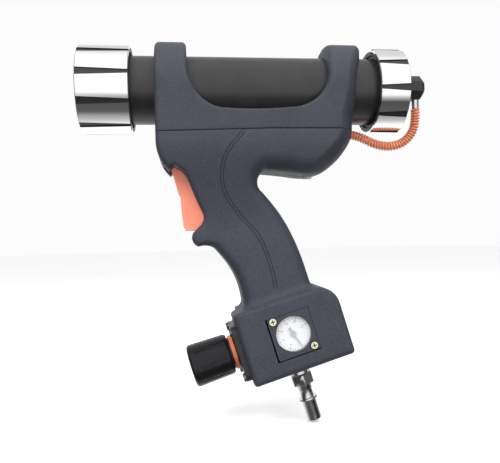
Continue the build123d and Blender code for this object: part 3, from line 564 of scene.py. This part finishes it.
def bowed(points):
    """The rear end bulges backwards in the middle: points near it move forwards with their width."""
    x, y, z = points.T
    rear = np.interp(z, REAR_EDGE[:, 1], REAR_EDGE[:, 0])
    share = smoothstep(1 - (rear - x) / 27.0) * smoothstep((z + 82) / 15)
    return np.stack([x - REAR_BOW * y ** 2 * share, y, z], axis=1)


def section_curve():
    """Front-view section of the cradle from below the seam to the top: Y, Z and length along it."""
    low = line((BODY_HALF, -44.5), (BAND_SIDE, 0), 0.5)
    top = quarter_ellipse((0, 0), BAND_SIDE, BAND_TOP, 0, 90, 0.4)
    points = np.vstack([low[:-1], top])
    return points, np.r_[0, np.cumsum(np.linalg.norm(np.diff(points, axis=0), axis=1))]


SECTION, SECTION_S = section_curve()


def unrolled(points):
    """Side-view points moved to the cradle's flat pattern: X and length along the section."""
    return np.stack([points[:, 0], np.interp(points[:, 1], SECTION[:, 1], SECTION_S)], axis=1)


def place_cradle(x, s, depth):
    y = np.interp(s, SECTION_S, SECTION[:, 0])
    z = np.interp(s, SECTION_S, SECTION[:, 1])
    slope = np.gradient(SECTION, SECTION_S, axis=0)
    ty = np.interp(s, SECTION_S, slope[:, 0])
    tz = np.interp(s, SECTION_S, slope[:, 1])
    scale = np.hypot(ty, tz)
    y = np.maximum(y - depth * tz / scale, 0)
    z = z + depth * ty / scale
    return np.stack([x, -y, z], axis=1)


def cradle_outline():
    window = [(line((198.3, BAND_TOP), (198.3, 29.0)), 6.5, 5.0),
              (line((198.3, 29.0), (196.8, 8.0)), 5.0, 3.0),
              (quarter_ellipse((165.0, 8.0), 31.8, 28.5, 0, -90), 3.0, 1.8),
              (arc((165.0, -20.5), (140.0, -22.0), (114.0, -21.3)), 1.8, 1.8),
              (quarter_ellipse((114.0, 14.0), 29.6, 35.3, -90, -90), 1.8, 3.0),
              (line((84.4, 14.0), (84.4, BAND_TOP)), 3.0, 3.6)]
    runs = [(line((84.4, BAND_TOP), (59.2, BAND_TOP)), 0.5, 0.5, "mirror"),
            (line((59.2, BAND_TOP), SEAM_LEFT), 3.8, 3.8, "edge"),
            (line(SEAM_LEFT, SEAM_BEND), SEAM_RADIUS, SEAM_RADIUS, "seam"),
            (line(SEAM_BEND, SEAM_RIGHT), SEAM_RADIUS, SEAM_RADIUS, "seam"),
            (REAR_EDGE[REAR_EDGE[:, 1] >= -37.3], 4.5, 5.0, "edge"),
            (line((230.5, BAND_TOP), (198.3, BAND_TOP)), 0.5, 0.5, "mirror")]
    runs += [(points, first, last, "edge") for points, first, last in window]
    return Outline([(unrolled(points), first, last, kind) for points, first, last, kind in runs])


def make_cradle():
    half = half_solid(cradle_outline(), place_cradle, spacing=3.0, warp=bowed, cap=False)
    piece = solid_object("barrel_cradle_moulding", [half, mirrored(half)])
    bore = solid_object("bore", [cylinder_solid((40, 0, 0), (250, 0, 0), TUBE_R + 0.06, 160)])
    boolean(piece, bore, "DIFFERENCE")
    outlet = solid_object("outlet", [cylinder_solid(*outlet_hole(), OUTLET_HOLE_R)])
    boolean(piece, outlet, "DIFFERENCE")
    smooth_shading(piece)
    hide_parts("barrel_cradle")
    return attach(piece, "housing")


def outlet_hole():
    """The two ends of the hole in the rear wall that the hose comes out of."""
    first, second = np.array(HOSE_ROUTE[0]), np.array(HOSE_ROUTE[1])
    ahead = (second - first) / np.linalg.norm(second - first)
    return first + 3 * ahead, first - 12 * ahead


def grip_width(x, z):
    """Half width of the lower body: wide at the top, slim in the hand, flared onto the block."""
    fall = smoothstep((-46.0 - z) / 68.0)
    width = BODY_HALF - (BODY_HALF - GRIP_HALF) * fall ** 0.8
    above = (x - BLOCK_AT[0]) * BLOCK_V[0] + (z - BLOCK_AT[1]) * BLOCK_V[1] - BLOCK_TOP
    return width + rounding(np.maximum(above, 0), FLARE_R) * (above < FLARE_R)


def traced(start, steps):
    """Rounded runs that follow on from a start point: each is a curve, the points it goes through
    and its edge radii."""
    runs = []
    for curve, points, first, last in steps:
        corners = [start, *points]
        runs.append((spline(corners) if curve is spline else curve(*corners), first, last, "edge"))
        start = points[-1]
    return runs


def body_outline():
    runs = [(line(SEAM_RIGHT, SEAM_BEND), SEAM_RADIUS, SEAM_RADIUS, "seam"),
            (line(SEAM_BEND, SEAM_LEFT), SEAM_RADIUS, SEAM_RADIUS, "seam")]
    runs += traced(SEAM_LEFT, [
        (line, [(HOUSING_FRONT, -46.0)], 3.8, 4.5),
        (arc, [(62.0, -59.0), (69.0, -68.6)], 4.5, 4.5),
        (line, [(72.6, -64.8)], 3.0, 3.0),
        (spline, [(80.8, -70.6), (84.8, -78.5), (89.4, -90.0), (95.0, -102.5)], 3.0, 3.4),
        (arc, [(95.2, -107.6), (92.6, -112.0)], 3.4, 3.4),
        (line, [(87.2, -117.6)], 3.4, 3.6),
        (arc, [(86.3, -124.0), (90.7, -129.0)], 3.6, 4.0),
        (arc, [(98.0, -128.4), (104.6, -131.0)], 4.0, 7.0),
        (spline, [(116.6, -146.3), (124.0, -163.0), (126.4, -174.5)], 7.0, 9.5),
        (arc, [(125.4, -179.6), (121.2, -182.9)], 9.5, 6.0),
        (line, [(128.0, -190.0)], 2.0, 2.0),
        (line, [(183.0, -174.0)], 2.0, 2.0),
        (line, [(187.6, -164.3)], 2.0, 2.0),
        (arc, [(183.4, -162.4), (181.4, -158.8)], 6.0, 9.5),
        (spline, [(176.7, -143.4), (168.4, -122.1), (157.0, -102.0), (143.6, -85.8)], 9.5, 11.0),
        (arc, [(139.9, -75.0), (147.0, -68.2)], 11.0, 12.0),
        (spline, [(164.0, -70.0), (182.0, -72.2), (194.0, -70.4), (200.0, -67.0)], 12.0, 12.0)])
    runs.append((REAR_EDGE[REAR_EDGE[:, 1] <= -37.1], 12.0, 4.5, "edge"))
    return Outline(runs)


def groove_relief(flat):
    """Two fine grooves side by side that fade out at both ends."""
    gap, place = distance_to(flat, S_GROOVE)
    last = len(S_GROOVE) - 1
    fade = smoothstep((last - place) / 1.5) * smoothstep(place / 1.0 + 0.4)
    cut = 0.5 * np.exp(-((gap - 1.16) / 0.26) ** 4)
    return cut * fade


def place_body(x, z, depth, wall=0.0):
    return np.stack([x, -(grip_width(x, z) - wall - depth), z], axis=1)


def body_cavity():
    """Space inside the lower body, one wall thickness in, open at the top where the cradle closes it."""
    outline = body_outline()
    free = outline.kinds == "edge"
    points = outline.points[free]
    moved = points + SHELL_WALL * outline.normals()[free]
    gap, _ = distance_to(moved, points)
    keep = (gap > SHELL_WALL * 0.985) & (moved[:, 1] < -42)
    moved, radii = moved[keep], np.maximum(outline.radii[free][keep] - SHELL_WALL, 0.8)
    top = [(moved[-1][0] + 2.0, -31.0), (HOUSING_FRONT + SHELL_WALL, -31.0)]
    loop = np.vstack([top, moved, top[:1]])
    return half_solid(Outline([(loop, np.r_[0.8, 0.8, radii, 0.8], None, "edge")]),
                      partial(place_body, wall=SHELL_WALL), spacing=5.0, columns=5, warp=bowed, beyond=1.0)


def block_outline(shrink, front):
    """Side view of the regulator block; front is the radius of its upper front corner."""
    low_u, high_u = shrink, BLOCK_LENGTH - shrink
    low_v, high_v = BLOCK_BOTTOM + shrink, BLOCK_TOP - shrink
    small, big = BLOCK_CORNER, 18.0 - shrink
    lean = small * (1 - math.sqrt(0.5))
    big_lean = big * (1 - math.sqrt(0.5))
    front_lean = front * (1 - math.sqrt(0.5))
    edges = [0.8] * 9 if shrink else [5.5, 5.5, 3.5, 3.5, 3.2, 3.2, 4.6, 4.6, 5.5]
    runs = [line((low_u + small, low_v), (high_u - small, low_v)),
            arc((high_u - small, low_v), (high_u - lean, low_v + lean), (high_u, low_v + small), 0.7),
            line((high_u, low_v + small), (high_u, high_v - big)),
            arc((high_u, high_v - big), (high_u - big_lean, high_v - big_lean), (high_u - big, high_v)),
            line((high_u - big, high_v), (low_u + front, high_v)),
            arc((low_u + front, high_v), (low_u + front_lean, high_v - front_lean),
                (low_u, high_v - front), 0.7),
            line((low_u, high_v - front), (low_u, low_v + small)),
            arc((low_u, low_v + small), (low_u + lean, low_v + lean), (low_u + small, low_v), 0.7)]
    return Outline([(run, edges[i], edges[i + 1], "edge") for i, run in enumerate(runs)])


def block_half(shrink=0.0, beyond=0.0, front=BLOCK_CORNER):
    half = BLOCK_HALF - shrink

    def place(u, v, depth):
        flat = in_block(u, v)
        return np.stack([flat[:, 0], -(half - depth), flat[:, 1]], axis=1)

    return half_solid(block_outline(shrink, front), place, spacing=6.0, columns=3, beyond=beyond)


def block_box(u0, u1, v0, v1, w0, w1):
    """Box of the block's own frame."""
    corners = [block_point(u, v, w) for u in (u0, u1) for v in (v0, v1) for w in (w0, w1)]
    faces = [(0, 1, 3, 2), (4, 6, 7, 5), (0, 4, 5, 1), (2, 3, 7, 6), (0, 2, 6, 4), (1, 5, 7, 3)]
    return np.array(corners), faces


def shell_cutters(left):
    """Cavity and every opening of one shell, as closed solids on the left side."""
    inner_corner = BLOCK_CORNER if left else RIGHT_BLOCK_CORNER - SHELL_WALL
    cuts = [body_cavity(), block_half(SHELL_WALL, beyond=1.0, front=inner_corner),
            block_box(19, 60, 20, 36, -1, GRIP_HALF - 3),
            prism_solid(TRIGGER_SLOT, -11.5, 1.0),
            cylinder_solid(*outlet_hole(), OUTLET_HOLE_R),
            cylinder_solid((SILENCER_X, 0, -80), (SILENCER_X, 0, -64), SILENCER_R + 0.15),
            cylinder_solid(block_point(-10, 0), block_point(20, 0), BONNET_HOLE_R, 96),
            cylinder_solid(block_point(PLUG_U, BLOCK_BOTTOM - 10), block_point(PLUG_U, BLOCK_BOTTOM + 10),
                           PLUG_HOLE_R)]
    if left:
        plate = GAUGE_PLATE / 2
        cuts.append(block_box(GAUGE_U - plate - 1.4, GAUGE_U + plate + 0.05, GAUGE_V - plate - 0.9,
                              GAUGE_V + plate + 0.2, BLOCK_HALF - 4.0, BLOCK_HALF + 5))
        cuts.append(cylinder_solid(block_point(GAUGE_U, GAUGE_V, 10), block_point(GAUGE_U, GAUGE_V, 30),
                                   GAUGE_HOLE_R))
    else:
        places = [(x, z, float(grip_width(np.array([x]), np.array([z]))[0])) for x, z in SHELL_SCREWS]
        places += [(*in_block(u, v), BLOCK_HALF) for u, v in BLOCK_SCREWS]
        for x, z, half in places:
            cuts.append(cylinder_solid((x, -half - 1, z), (x, -half + 3.4, z), SCREW_HOLE_R, 40))
    return cuts


def make_shell(name, node, left):
    along_block = np.array([in_block(u, BLOCK_TOP + v) for v in (0.4, 1.1, 1.9, 2.8, 3.9, 5.2, 6.6)
                            for u in np.arange(4.0, 72.0, 1.6)])
    body = half_solid(body_outline(), place_body, spacing=3.0, columns=6, groove=S_GROOVE, rows=along_block,
                      relief=groove_relief, warp=bowed, lip=0.3)
    piece = solid_object(name, [body])
    block = solid_object("block", [block_half(front=BLOCK_CORNER if left else RIGHT_BLOCK_CORNER)])
    boolean(piece, block, "UNION")
    boolean(piece, solid_object("cutters", shell_cutters(left)), "DIFFERENCE")
    if not left:
        piece.data.transform(Matrix.Diagonal((1, -1, 1, 1)))
        piece.data.flip_normals()
    smooth_shading(piece)
    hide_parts(node)
    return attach(piece, "housing")


def make_silencer():
    disc = cylinder_solid((SILENCER_X, 0, SILENCER_FACE), (SILENCER_X, 0, -67.5), SILENCER_R, 40)
    piece = solid_object("silencer_disc", [disc])
    smooth_shading(piece)
    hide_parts("exhaust_silencer")
    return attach(piece, "housing")


def squeezed_spring(name):
    """A copy of a spring's mesh, fixed to the housing in place of its CAD node."""
    piece = bpy.data.objects.new(name + "_coil", nodes[name].data.copy())
    scene.collection.objects.link(piece)
    piece.matrix_world = nodes[name].matrix_world.copy()
    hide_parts(name)
    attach(piece, "housing")
    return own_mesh(piece)


def soften(name, width, segments):
    """Rounds the sharp edges of a CAD piece with modifiers."""
    weld = nodes[name].modifiers.new("join_faces", "WELD")
    weld.merge_threshold = 0.000005
    bevel = nodes[name].modifiers.new("rounded_edges", "BEVEL")
    bevel.width = width * MM
    bevel.segments = segments
    bevel.limit_method = "ANGLE"
    bevel.angle_limit = math.radians(40)
    bevel.harden_normals = True


# ---------------------------------------------------------------- marks printed on the gauge dial
NEEDLE_ANGLE = -72.0
DIAL_TOP = 22.1
TICK_END = 13.5
NUMBERS_AT = 9.3


def on_dial(points, height):
    """Points of the dial's plane, from its centre, as places in millimetres."""
    return np.array([block_point(GAUGE_U + x, GAUGE_V + y, DIAL_TOP + height) for x, y in points])


def on_circle(degrees):
    return np.array([math.cos(math.radians(degrees)), math.sin(math.radians(degrees))])


def dial_marks():
    """Ticks from the needle's rest clockwise over 270 degrees, with a number at every fifth."""
    marks = []
    for i in range(31):
        ahead = on_circle(NEEDLE_ANGLE - 9.0 * i)
        across = np.array([-ahead[1], ahead[0]])
        near, half = (11.3, 0.24) if i % 5 == 0 else (12.3, 0.13)
        corners = [near * ahead - half * across, TICK_END * ahead - half * across,
                   TICK_END * ahead + half * across, near * ahead + half * across]
        marks.append(between(on_dial(corners, 0.02), on_dial(corners, 0.08)))
    up = on_circle(NEEDLE_ANGLE + 45 + 180)
    right = np.array([up[1], -up[0]])
    for i in range(7):
        centre = NUMBERS_AT * on_circle(NEEDLE_ANGLE - 45.0 * i)
        data = bpy.data.curves.new("number", "FONT")
        data.body = str(2 * i)
        data.size = 3.0
        data.align_x = "CENTER"
        data.align_y = "CENTER"
        data.extrude = 0.03
        data.resolution_u = 3
        holder = bpy.data.objects.new("number", data)
        scene.collection.objects.link(holder)
        bpy.context.view_layer.update()
        flat = bpy.data.meshes.new_from_object(holder.evaluated_get(bpy.context.evaluated_depsgraph_get()))
        places = [on_dial([centre + v.co.x * right + v.co.y * up], 0.05 + v.co.z)[0] for v in flat.vertices]
        marks.append((np.array(places), [tuple(face.vertices) for face in flat.polygons]))
        bpy.data.objects.remove(holder)
    starts = np.cumsum([0] + [len(vertices) for vertices, _ in marks])
    faces = [tuple(start + k for k in face) for start, (_, own) in zip(starts, marks) for face in own]
    piece = add_mesh("dial_marks", np.vstack([vertices for vertices, _ in marks]) * MM, faces, smooth=False)
    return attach(piece, "housing")


cradle = make_cradle()
left_shell = make_shell("grip_left_moulding", "grip_left_shell", True)
right_shell = make_shell("grip_right_moulding", "grip_right_shell", False)
silencer = make_silencer()
marks = dial_marks()
springs = [squeezed_spring("valve_spring"),
           squeezed_spring("regulator_spring")]
for name, width, segments in (("trigger", 1.3, 3), ("hose_elbow", 0.7, 3), ("inlet_plug", 0.35, 2),
                              ("regulator_knob", 0.25, 2), ("gauge_case", 0.3, 2)):
    soften(name, width, segments)


# ---------------------------------------------------------------- materials
def new_material(name):
    material = bpy.data.materials.new(name)
    material.use_nodes = True
    tree = material.node_tree
    shader = next(n for n in tree.nodes if n.type == "BSDF_PRINCIPLED")
    return material, tree, shader


def noise(tree, scale, detail=4.0, stretch=(1, 1, 1), distortion=0.0):
    """Noise in the row frame, scale in waves per metre."""
    place = tree.nodes.new("ShaderNodeTexCoord")
    mapping = tree.nodes.new("ShaderNodeMapping")
    mapping.inputs["Scale"].default_value = stretch
    texture = tree.nodes.new("ShaderNodeTexNoise")
    texture.inputs["Scale"].default_value = scale
    texture.inputs["Detail"].default_value = detail
    texture.inputs["Distortion"].default_value = distortion
    tree.links.new(place.outputs["Object"], mapping.inputs["Vector"])
    tree.links.new(mapping.outputs["Vector"], texture.inputs["Vector"])
    return texture.outputs["Fac"]


def ramp(tree, value, stops):
    """Colour ramp; each stop is a position and a colour or a grey value."""
    node = tree.nodes.new("ShaderNodeValToRGB")
    elements = node.color_ramp.elements
    while len(elements) > 1:
        elements.remove(elements[-1])
    for i, (position, colour) in enumerate(stops):
        element = elements[0] if i == 0 else elements.new(position)
        element.position = position
        element.color = (colour, colour, colour, 1) if isinstance(colour, float) else (*colour, 1)
    tree.links.new(value, node.inputs["Fac"])
    return node.outputs["Color"]


def remap(tree, value, low, high, source_low=0.3, source_high=0.7):
    """A value's middle range, or another range, spread between two numbers."""
    node = tree.nodes.new("ShaderNodeMapRange")
    node.inputs["From Min"].default_value = source_low
    node.inputs["From Max"].default_value = source_high
    node.inputs["To Min"].default_value = low
    node.inputs["To Max"].default_value = high
    tree.links.new(value, node.inputs["Value"])
    return node.outputs["Result"]


def mix(tree, factor, first, second):
    node = tree.nodes.new("ShaderNodeMix")
    node.data_type = "RGBA"
    tree.links.new(factor, node.inputs["Factor"])
    for socket, colour in ((node.inputs[6], first), (node.inputs[7], second)):
        if isinstance(colour, tuple):
            socket.default_value = (*colour, 1)
        else:
            tree.links.new(colour, socket)
    return node.outputs[2]


def maths(tree, operation, first, second=0.0):
    """One maths step; each value is a number or a socket."""
    node = tree.nodes.new("ShaderNodeMath")
    node.operation = operation
    for socket, value in ((node.inputs[0], first), (node.inputs[1], second)):
        if isinstance(value, float):
            socket.default_value = value
        else:
            tree.links.new(value, socket)
    return node.outputs[0]


def split_axes(tree, source):
    """The X, Y and Z sockets of a texture coordinate."""
    place = tree.nodes.new("ShaderNodeTexCoord")
    split = tree.nodes.new("ShaderNodeSeparateXYZ")
    tree.links.new(place.outputs[source], split.inputs["Vector"])
    return split.outputs


def bump(tree, shader, height, strength, distance):
    node = tree.nodes.new("ShaderNodeBump")
    node.inputs["Strength"].default_value = strength
    node.inputs["Distance"].default_value = distance
    tree.links.new(height, node.inputs["Height"])
    tree.links.new(node.outputs["Normal"], shader.inputs["Normal"])


def surface(name, dark, light, rough, grain=1500.0, grain_depth=0.00002, patch=60.0, metallic=0.0,
            coat=0.0, stretch=(1, 1, 1), strength=0.4, extra=None):
    """Colour that drifts between two tones, roughness that drifts between two values, and a fine grain."""
    material, tree, shader = new_material(name)
    drift = noise(tree, patch, 5.0)
    tree.links.new(ramp(tree, drift, [(0.32, dark), (0.68, light)]), shader.inputs["Base Color"])
    tree.links.new(remap(tree, noise(tree, patch * 2.3, 3.0), *rough), shader.inputs["Roughness"])
    bump(tree, shader, noise(tree, grain, 3.0, stretch), strength, grain_depth)
    shader.inputs["Metallic"].default_value = metallic
    shader.inputs["Coat Weight"].default_value = coat
    if extra:
        extra(tree, shader)
    return material


def housing_material():
    """Soft moulded nylon with a fine spark-eroded grain."""
    material, tree, shader = new_material("housing_nylon")
    drift = noise(tree, 35.0, 6.0)
    base = ramp(tree, drift, [(0.3, (0.038, 0.042, 0.055)), (0.7, (0.046, 0.051, 0.067))])
    specks = ramp(tree, noise(tree, 900.0, 2.0), [(0.42, 0.0), (0.72, 1.0)])
    tree.links.new(mix(tree, specks, base, (0.060, 0.066, 0.084)), shader.inputs["Base Color"])
    tree.links.new(remap(tree, noise(tree, 120.0, 4.0), 0.50, 0.60), shader.inputs["Roughness"])
    bump(tree, shader, noise(tree, 2600.0, 2.0), 0.35, 0.00003)
    shader.inputs["Specular IOR Level"].default_value = 0.42
    return material


GROOVE_FLOOR_R = 0.0338
GROOVE_TOP_R = 0.03535


def chrome_material():
    """Polished plating; the milled grooves are coloured dark and not metallic below the outer surface."""
    material, tree, shader = new_material("chrome_and_dark_grooves")
    place = split_axes(tree, "Object")
    facing = split_axes(tree, "Normal")
    radius = maths(tree, "SQRT", maths(tree, "ADD", maths(tree, "POWER", place["Y"], 2.0),
                                       maths(tree, "POWER", place["Z"], 2.0)))
    below = maths(tree, "LESS_THAN", radius, GROOVE_TOP_R)
    outside = maths(tree, "GREATER_THAN", radius, GROOVE_FLOOR_R)
    sideways = maths(tree, "LESS_THAN", maths(tree, "ABSOLUTE", facing["X"]), 0.5)
    groove = maths(tree, "MULTIPLY", maths(tree, "MULTIPLY", below, outside), sideways)
    bright = ramp(tree, noise(tree, 45.0), [(0.3, 0.93), (0.7, 0.98)])
    tree.links.new(mix(tree, groove, bright, (0.022, 0.023, 0.026)), shader.inputs["Base Color"])
    polish = remap(tree, noise(tree, 160.0, 5.0), 0.05, 0.10)
    rough = tree.nodes.new("ShaderNodeMix")
    tree.links.new(groove, rough.inputs["Factor"])
    tree.links.new(polish, rough.inputs[2])
    rough.inputs[3].default_value = 0.34
    tree.links.new(rough.outputs[0], shader.inputs["Roughness"])
    tree.links.new(maths(tree, "SUBTRACT", 1.0, groove), shader.inputs["Metallic"])
    bump(tree, shader, noise(tree, 90.0, 2.0), 0.03, 0.0002)
    return material


def steel(name, dark, light, rough, stretch=(1, 1, 1)):
    return surface(name, dark, light, rough, grain=700.0, grain_depth=0.00001, metallic=1.0,
                   stretch=stretch, strength=0.25)


def painted_glow(strength):
    """Painted glow: a little emission of a plastic's own colour, which makes it brighter than the lamps alone
    would light it.
    """
    def add(tree, shader):
        tree.links.new(shader.inputs["Base Color"].links[0].from_socket, shader.inputs["Emission Color"])
        shader.inputs["Emission Strength"].default_value = strength
    return add


def matt(level):
    def add(tree, shader):
        shader.inputs["Specular IOR Level"].default_value = level
    return add


def zinc_material():
    """Yellow passivated screw heads, with painted shade down in the cross: zinc that lies behind the plane Y
    = -25 mm is dark.
    """
    material = steel("yellow_zinc", (0.80, 0.77, 0.55), (0.90, 0.88, 0.70), (0.25, 0.38))
    tree = material.node_tree
    shader = next(n for n in tree.nodes if n.type == "BSDF_PRINCIPLED")
    bright = shader.inputs["Base Color"].links[0].from_socket
    # painted shade: zinc behind the plane Y = -25 mm turns dark, standing in for the shade in the screws'
    # cross
    painted_recess_shade = remap(tree, split_axes(tree, "Object")["Y"], 0.0, 1.0, -0.0253, -0.0250)
    tree.links.new(mix(tree, painted_recess_shade, bright, (0.05, 0.045, 0.02)), shader.inputs["Base Color"])
    return material


def make_materials():
    return {
        "housing": housing_material(),
        "chrome": chrome_material(),
        "black_tube": surface("anodised_barrel", (0.022, 0.0215, 0.022), (0.030, 0.029, 0.0295), (0.30, 0.38),
                              grain=500.0, grain_depth=0.000006, stretch=(9, 1, 1), strength=0.3),
        "black_insert": surface("black_nylon", (0.012, 0.012, 0.013), (0.02, 0.02, 0.021), (0.35, 0.5)),
        # the trigger gets a painted glow, an emission of its own colour
        "trigger_coral": surface("coral_plastic", (0.80, 0.225, 0.145), (0.87, 0.270, 0.180), (0.36, 0.46),
                                 grain_depth=0.00001, extra=painted_glow(0.26)),
        "hose_orange": surface("orange_polyurethane", (0.74, 0.19, 0.08), (0.82, 0.23, 0.10), (0.28, 0.38),
                               grain_depth=0.00001, coat=0.2),
        "coil_orange": surface("orange_coil_guard", (0.88, 0.31, 0.16), (0.96, 0.38, 0.21), (0.25, 0.36),
                               grain_depth=0.00001, coat=0.2),
        "knob_black": surface("glossy_black_knob", (0.006, 0.006, 0.008), (0.010, 0.010, 0.013), (0.24, 0.32),
                              grain=900.0, grain_depth=0.000004, strength=0.2, extra=matt(0.3)),
        "ring_orange": surface("orange_ring", (0.72, 0.17, 0.06), (0.80, 0.21, 0.08), (0.3, 0.4),
                               grain_depth=0.00001),
        "steel": steel("bright_nickel", (0.62, 0.62, 0.61), (0.74, 0.74, 0.73), (0.12, 0.22), (1, 1, 6)),
        "zinc": zinc_material(),
        "spring_steel": steel("spring_wire", (0.36, 0.37, 0.39), (0.48, 0.49, 0.5), (0.25, 0.35)),
        "brass": steel("machined_brass", (0.62, 0.45, 0.18), (0.74, 0.56, 0.26), (0.2, 0.32)),
        "cast_aluminium": steel("cast_aluminium", (0.45, 0.46, 0.47), (0.56, 0.57, 0.58), (0.38, 0.5)),
        "seal_rubber": surface("nitrile_rubber", 0.012, 0.02, (0.55, 0.7)),
        "tube_blue": surface("blue_air_line", (0.04, 0.10, 0.32), (0.06, 0.14, 0.40), (0.28, 0.36), coat=0.2),
        "dial_print": surface("dial_print", (0.16, 0.17, 0.19), (0.24, 0.25, 0.27), (0.5, 0.6),
                              grain_depth=0.000004),
        "screw_dark": steel("blackened_screws", (0.10, 0.10, 0.11), (0.22, 0.22, 0.23), (0.2, 0.35)),
        "dial_white": surface("printed_dial", (0.88, 0.88, 0.90), (0.94, 0.94, 0.95), (0.45, 0.55),
                              grain_depth=0.000004),
        "needle_grey": surface("grey_needle", (0.42, 0.43, 0.46), (0.50, 0.51, 0.54), (0.35, 0.45),
                               grain_depth=0.000004),
        "silencer_white": surface("sintered_silencer", (0.76, 0.76, 0.74), (0.85, 0.85, 0.83), (0.7, 0.85),
                                  grain=1400.0, grain_depth=0.0001, strength=0.8),
        "elbow_black": surface("elbow_nylon", (0.014, 0.014, 0.015), (0.022, 0.022, 0.024), (0.24, 0.36)),
        "lens_clear": lens_material(),
    }


def lens_material():
    material, tree, shader = new_material("clear_lens")
    shader.inputs["Base Color"].default_value = (0.97, 0.98, 1.0, 1)
    tree.links.new(remap(tree, noise(tree, 90.0, 3.0), 0.03, 0.06), shader.inputs["Roughness"])
    shader.inputs["IOR"].default_value = 1.45
    shader.inputs["Alpha"].default_value = 0.10
    return material


materials = make_materials()
slot_of = {s["node"]: s["material_slot"] for s in record["subparts"]}


def give(piece, slot):
    piece.data.materials.clear()
    piece.data.materials.append(materials[slot])


for name, node in nodes.items():
    give(node, slot_of[name])
for piece in (cradle, left_shell, right_shell):
    give(piece, "housing")
give(hose, "hose_orange")
give(guard, "coil_orange")
give(silencer, "silencer_white")
for spring in springs:
    give(spring, "spring_steel")
give(marks, "dial_print")
give(nodes["bonnet_screws"], "screw_dark")


# ---------------------------------------------------------------- floor, backdrop light and lamps
def make_floor():
    low = cad_box[0].z
    mesh = bpy.data.meshes.new("floor")
    work = bmesh.new()
    bmesh.ops.create_circle(work, cap_ends=True, segments=96, radius=6.0)
    work.to_mesh(mesh)
    work.free()
    floor = bpy.data.objects.new("floor", mesh)
    floor.location = (0.14, 0, low - 0.0005)
    floor.visible_glossy = False
    floor.visible_diffuse = False
    floor.visible_shadow = False
    scene.collection.objects.link(floor)
    material, tree, shader = new_material("pale_floor")
    tone = ramp(tree, noise(tree, 3.0, 2.0), [(0.3, 0.90), (0.7, 0.93)])
    tree.links.new(tone, shader.inputs["Base Color"])
    tree.links.new(tone, shader.inputs["Emission Color"])
    shader.inputs["Emission Strength"].default_value = 0.24
    shader.inputs["Roughness"].default_value = 0.9
    shader.inputs["Specular IOR Level"].default_value = 0.1
    floor.data.materials.append(material)


def make_world():
    """White surroundings. Light comes from the viewer's side, from above and from behind, and little
    of it from straight below."""
    world = bpy.data.worlds.new("studio")
    scene.world = world
    world.use_nodes = True
    tree = world.node_tree
    background = next(n for n in tree.nodes if n.type == "BACKGROUND")
    way = split_axes(tree, "Generated")
    around = maths(tree, "ARCTAN2", way["Z"], maths(tree, "MULTIPLY", way["Y"], -1.0))
    turn = maths(tree, "ADD", maths(tree, "DIVIDE", around, 2 * math.pi), 0.5)
    panels = ramp(tree, turn, [(0.0, 0.95), (0.19, 0.95), (0.235, 0.5), (0.27, 0.34), (0.31, 0.09),
                               (0.395, 0.07), (0.425, 0.45), (0.45, 0.96), (0.5, 1.0), (0.72, 1.0),
                               (0.78, 0.66), (0.86, 0.62), (0.95, 0.95)])
    side = ramp(tree, maths(tree, "ABSOLUTE", way["X"]), [(0.45, 1.0), (0.86, 0.12)])
    shade = tree.nodes.new("ShaderNodeMix")
    shade.data_type = "RGBA"
    shade.blend_type = "MULTIPLY"
    shade.inputs["Factor"].default_value = 1.0
    tree.links.new(panels, shade.inputs[6])
    tree.links.new(side, shade.inputs[7])
    path = tree.nodes.new("ShaderNodeLightPath")
    shown = mix(tree, path.outputs["Is Camera Ray"], shade.outputs[2], (0.85, 0.85, 0.85))
    tree.links.new(shown, background.inputs["Color"])
    background.inputs["Strength"].default_value = 1.15


def add_lamp(name, place, target, size, power):
    data = bpy.data.lights.new(name, "AREA")
    data.shape = "RECTANGLE"
    data.size, data.size_y = size
    data.energy = power
    lamp = bpy.data.objects.new(name, data)
    lamp.location = place
    lamp.visible_glossy = False
    lamp.rotation_mode = "QUATERNION"
    lamp.rotation_quaternion = (Vector(target) - Vector(place)).to_track_quat("-Z", "Y")
    scene.collection.objects.link(lamp)


make_floor()
make_world()
add_lamp("key", (-0.45, -0.75, 0.75), (0.14, 0, -0.08), (0.7, 0.7), 11.0)
add_lamp("fill", (0.9, -0.7, 0.45), (0.14, 0, -0.1), (0.9, 0.9), 4.5)
add_lamp("back", (0.3, 0.9, 0.7), (0.14, 0, -0.1), (0.9, 0.6), 4.0)
scene.view_settings.view_transform = "Standard"
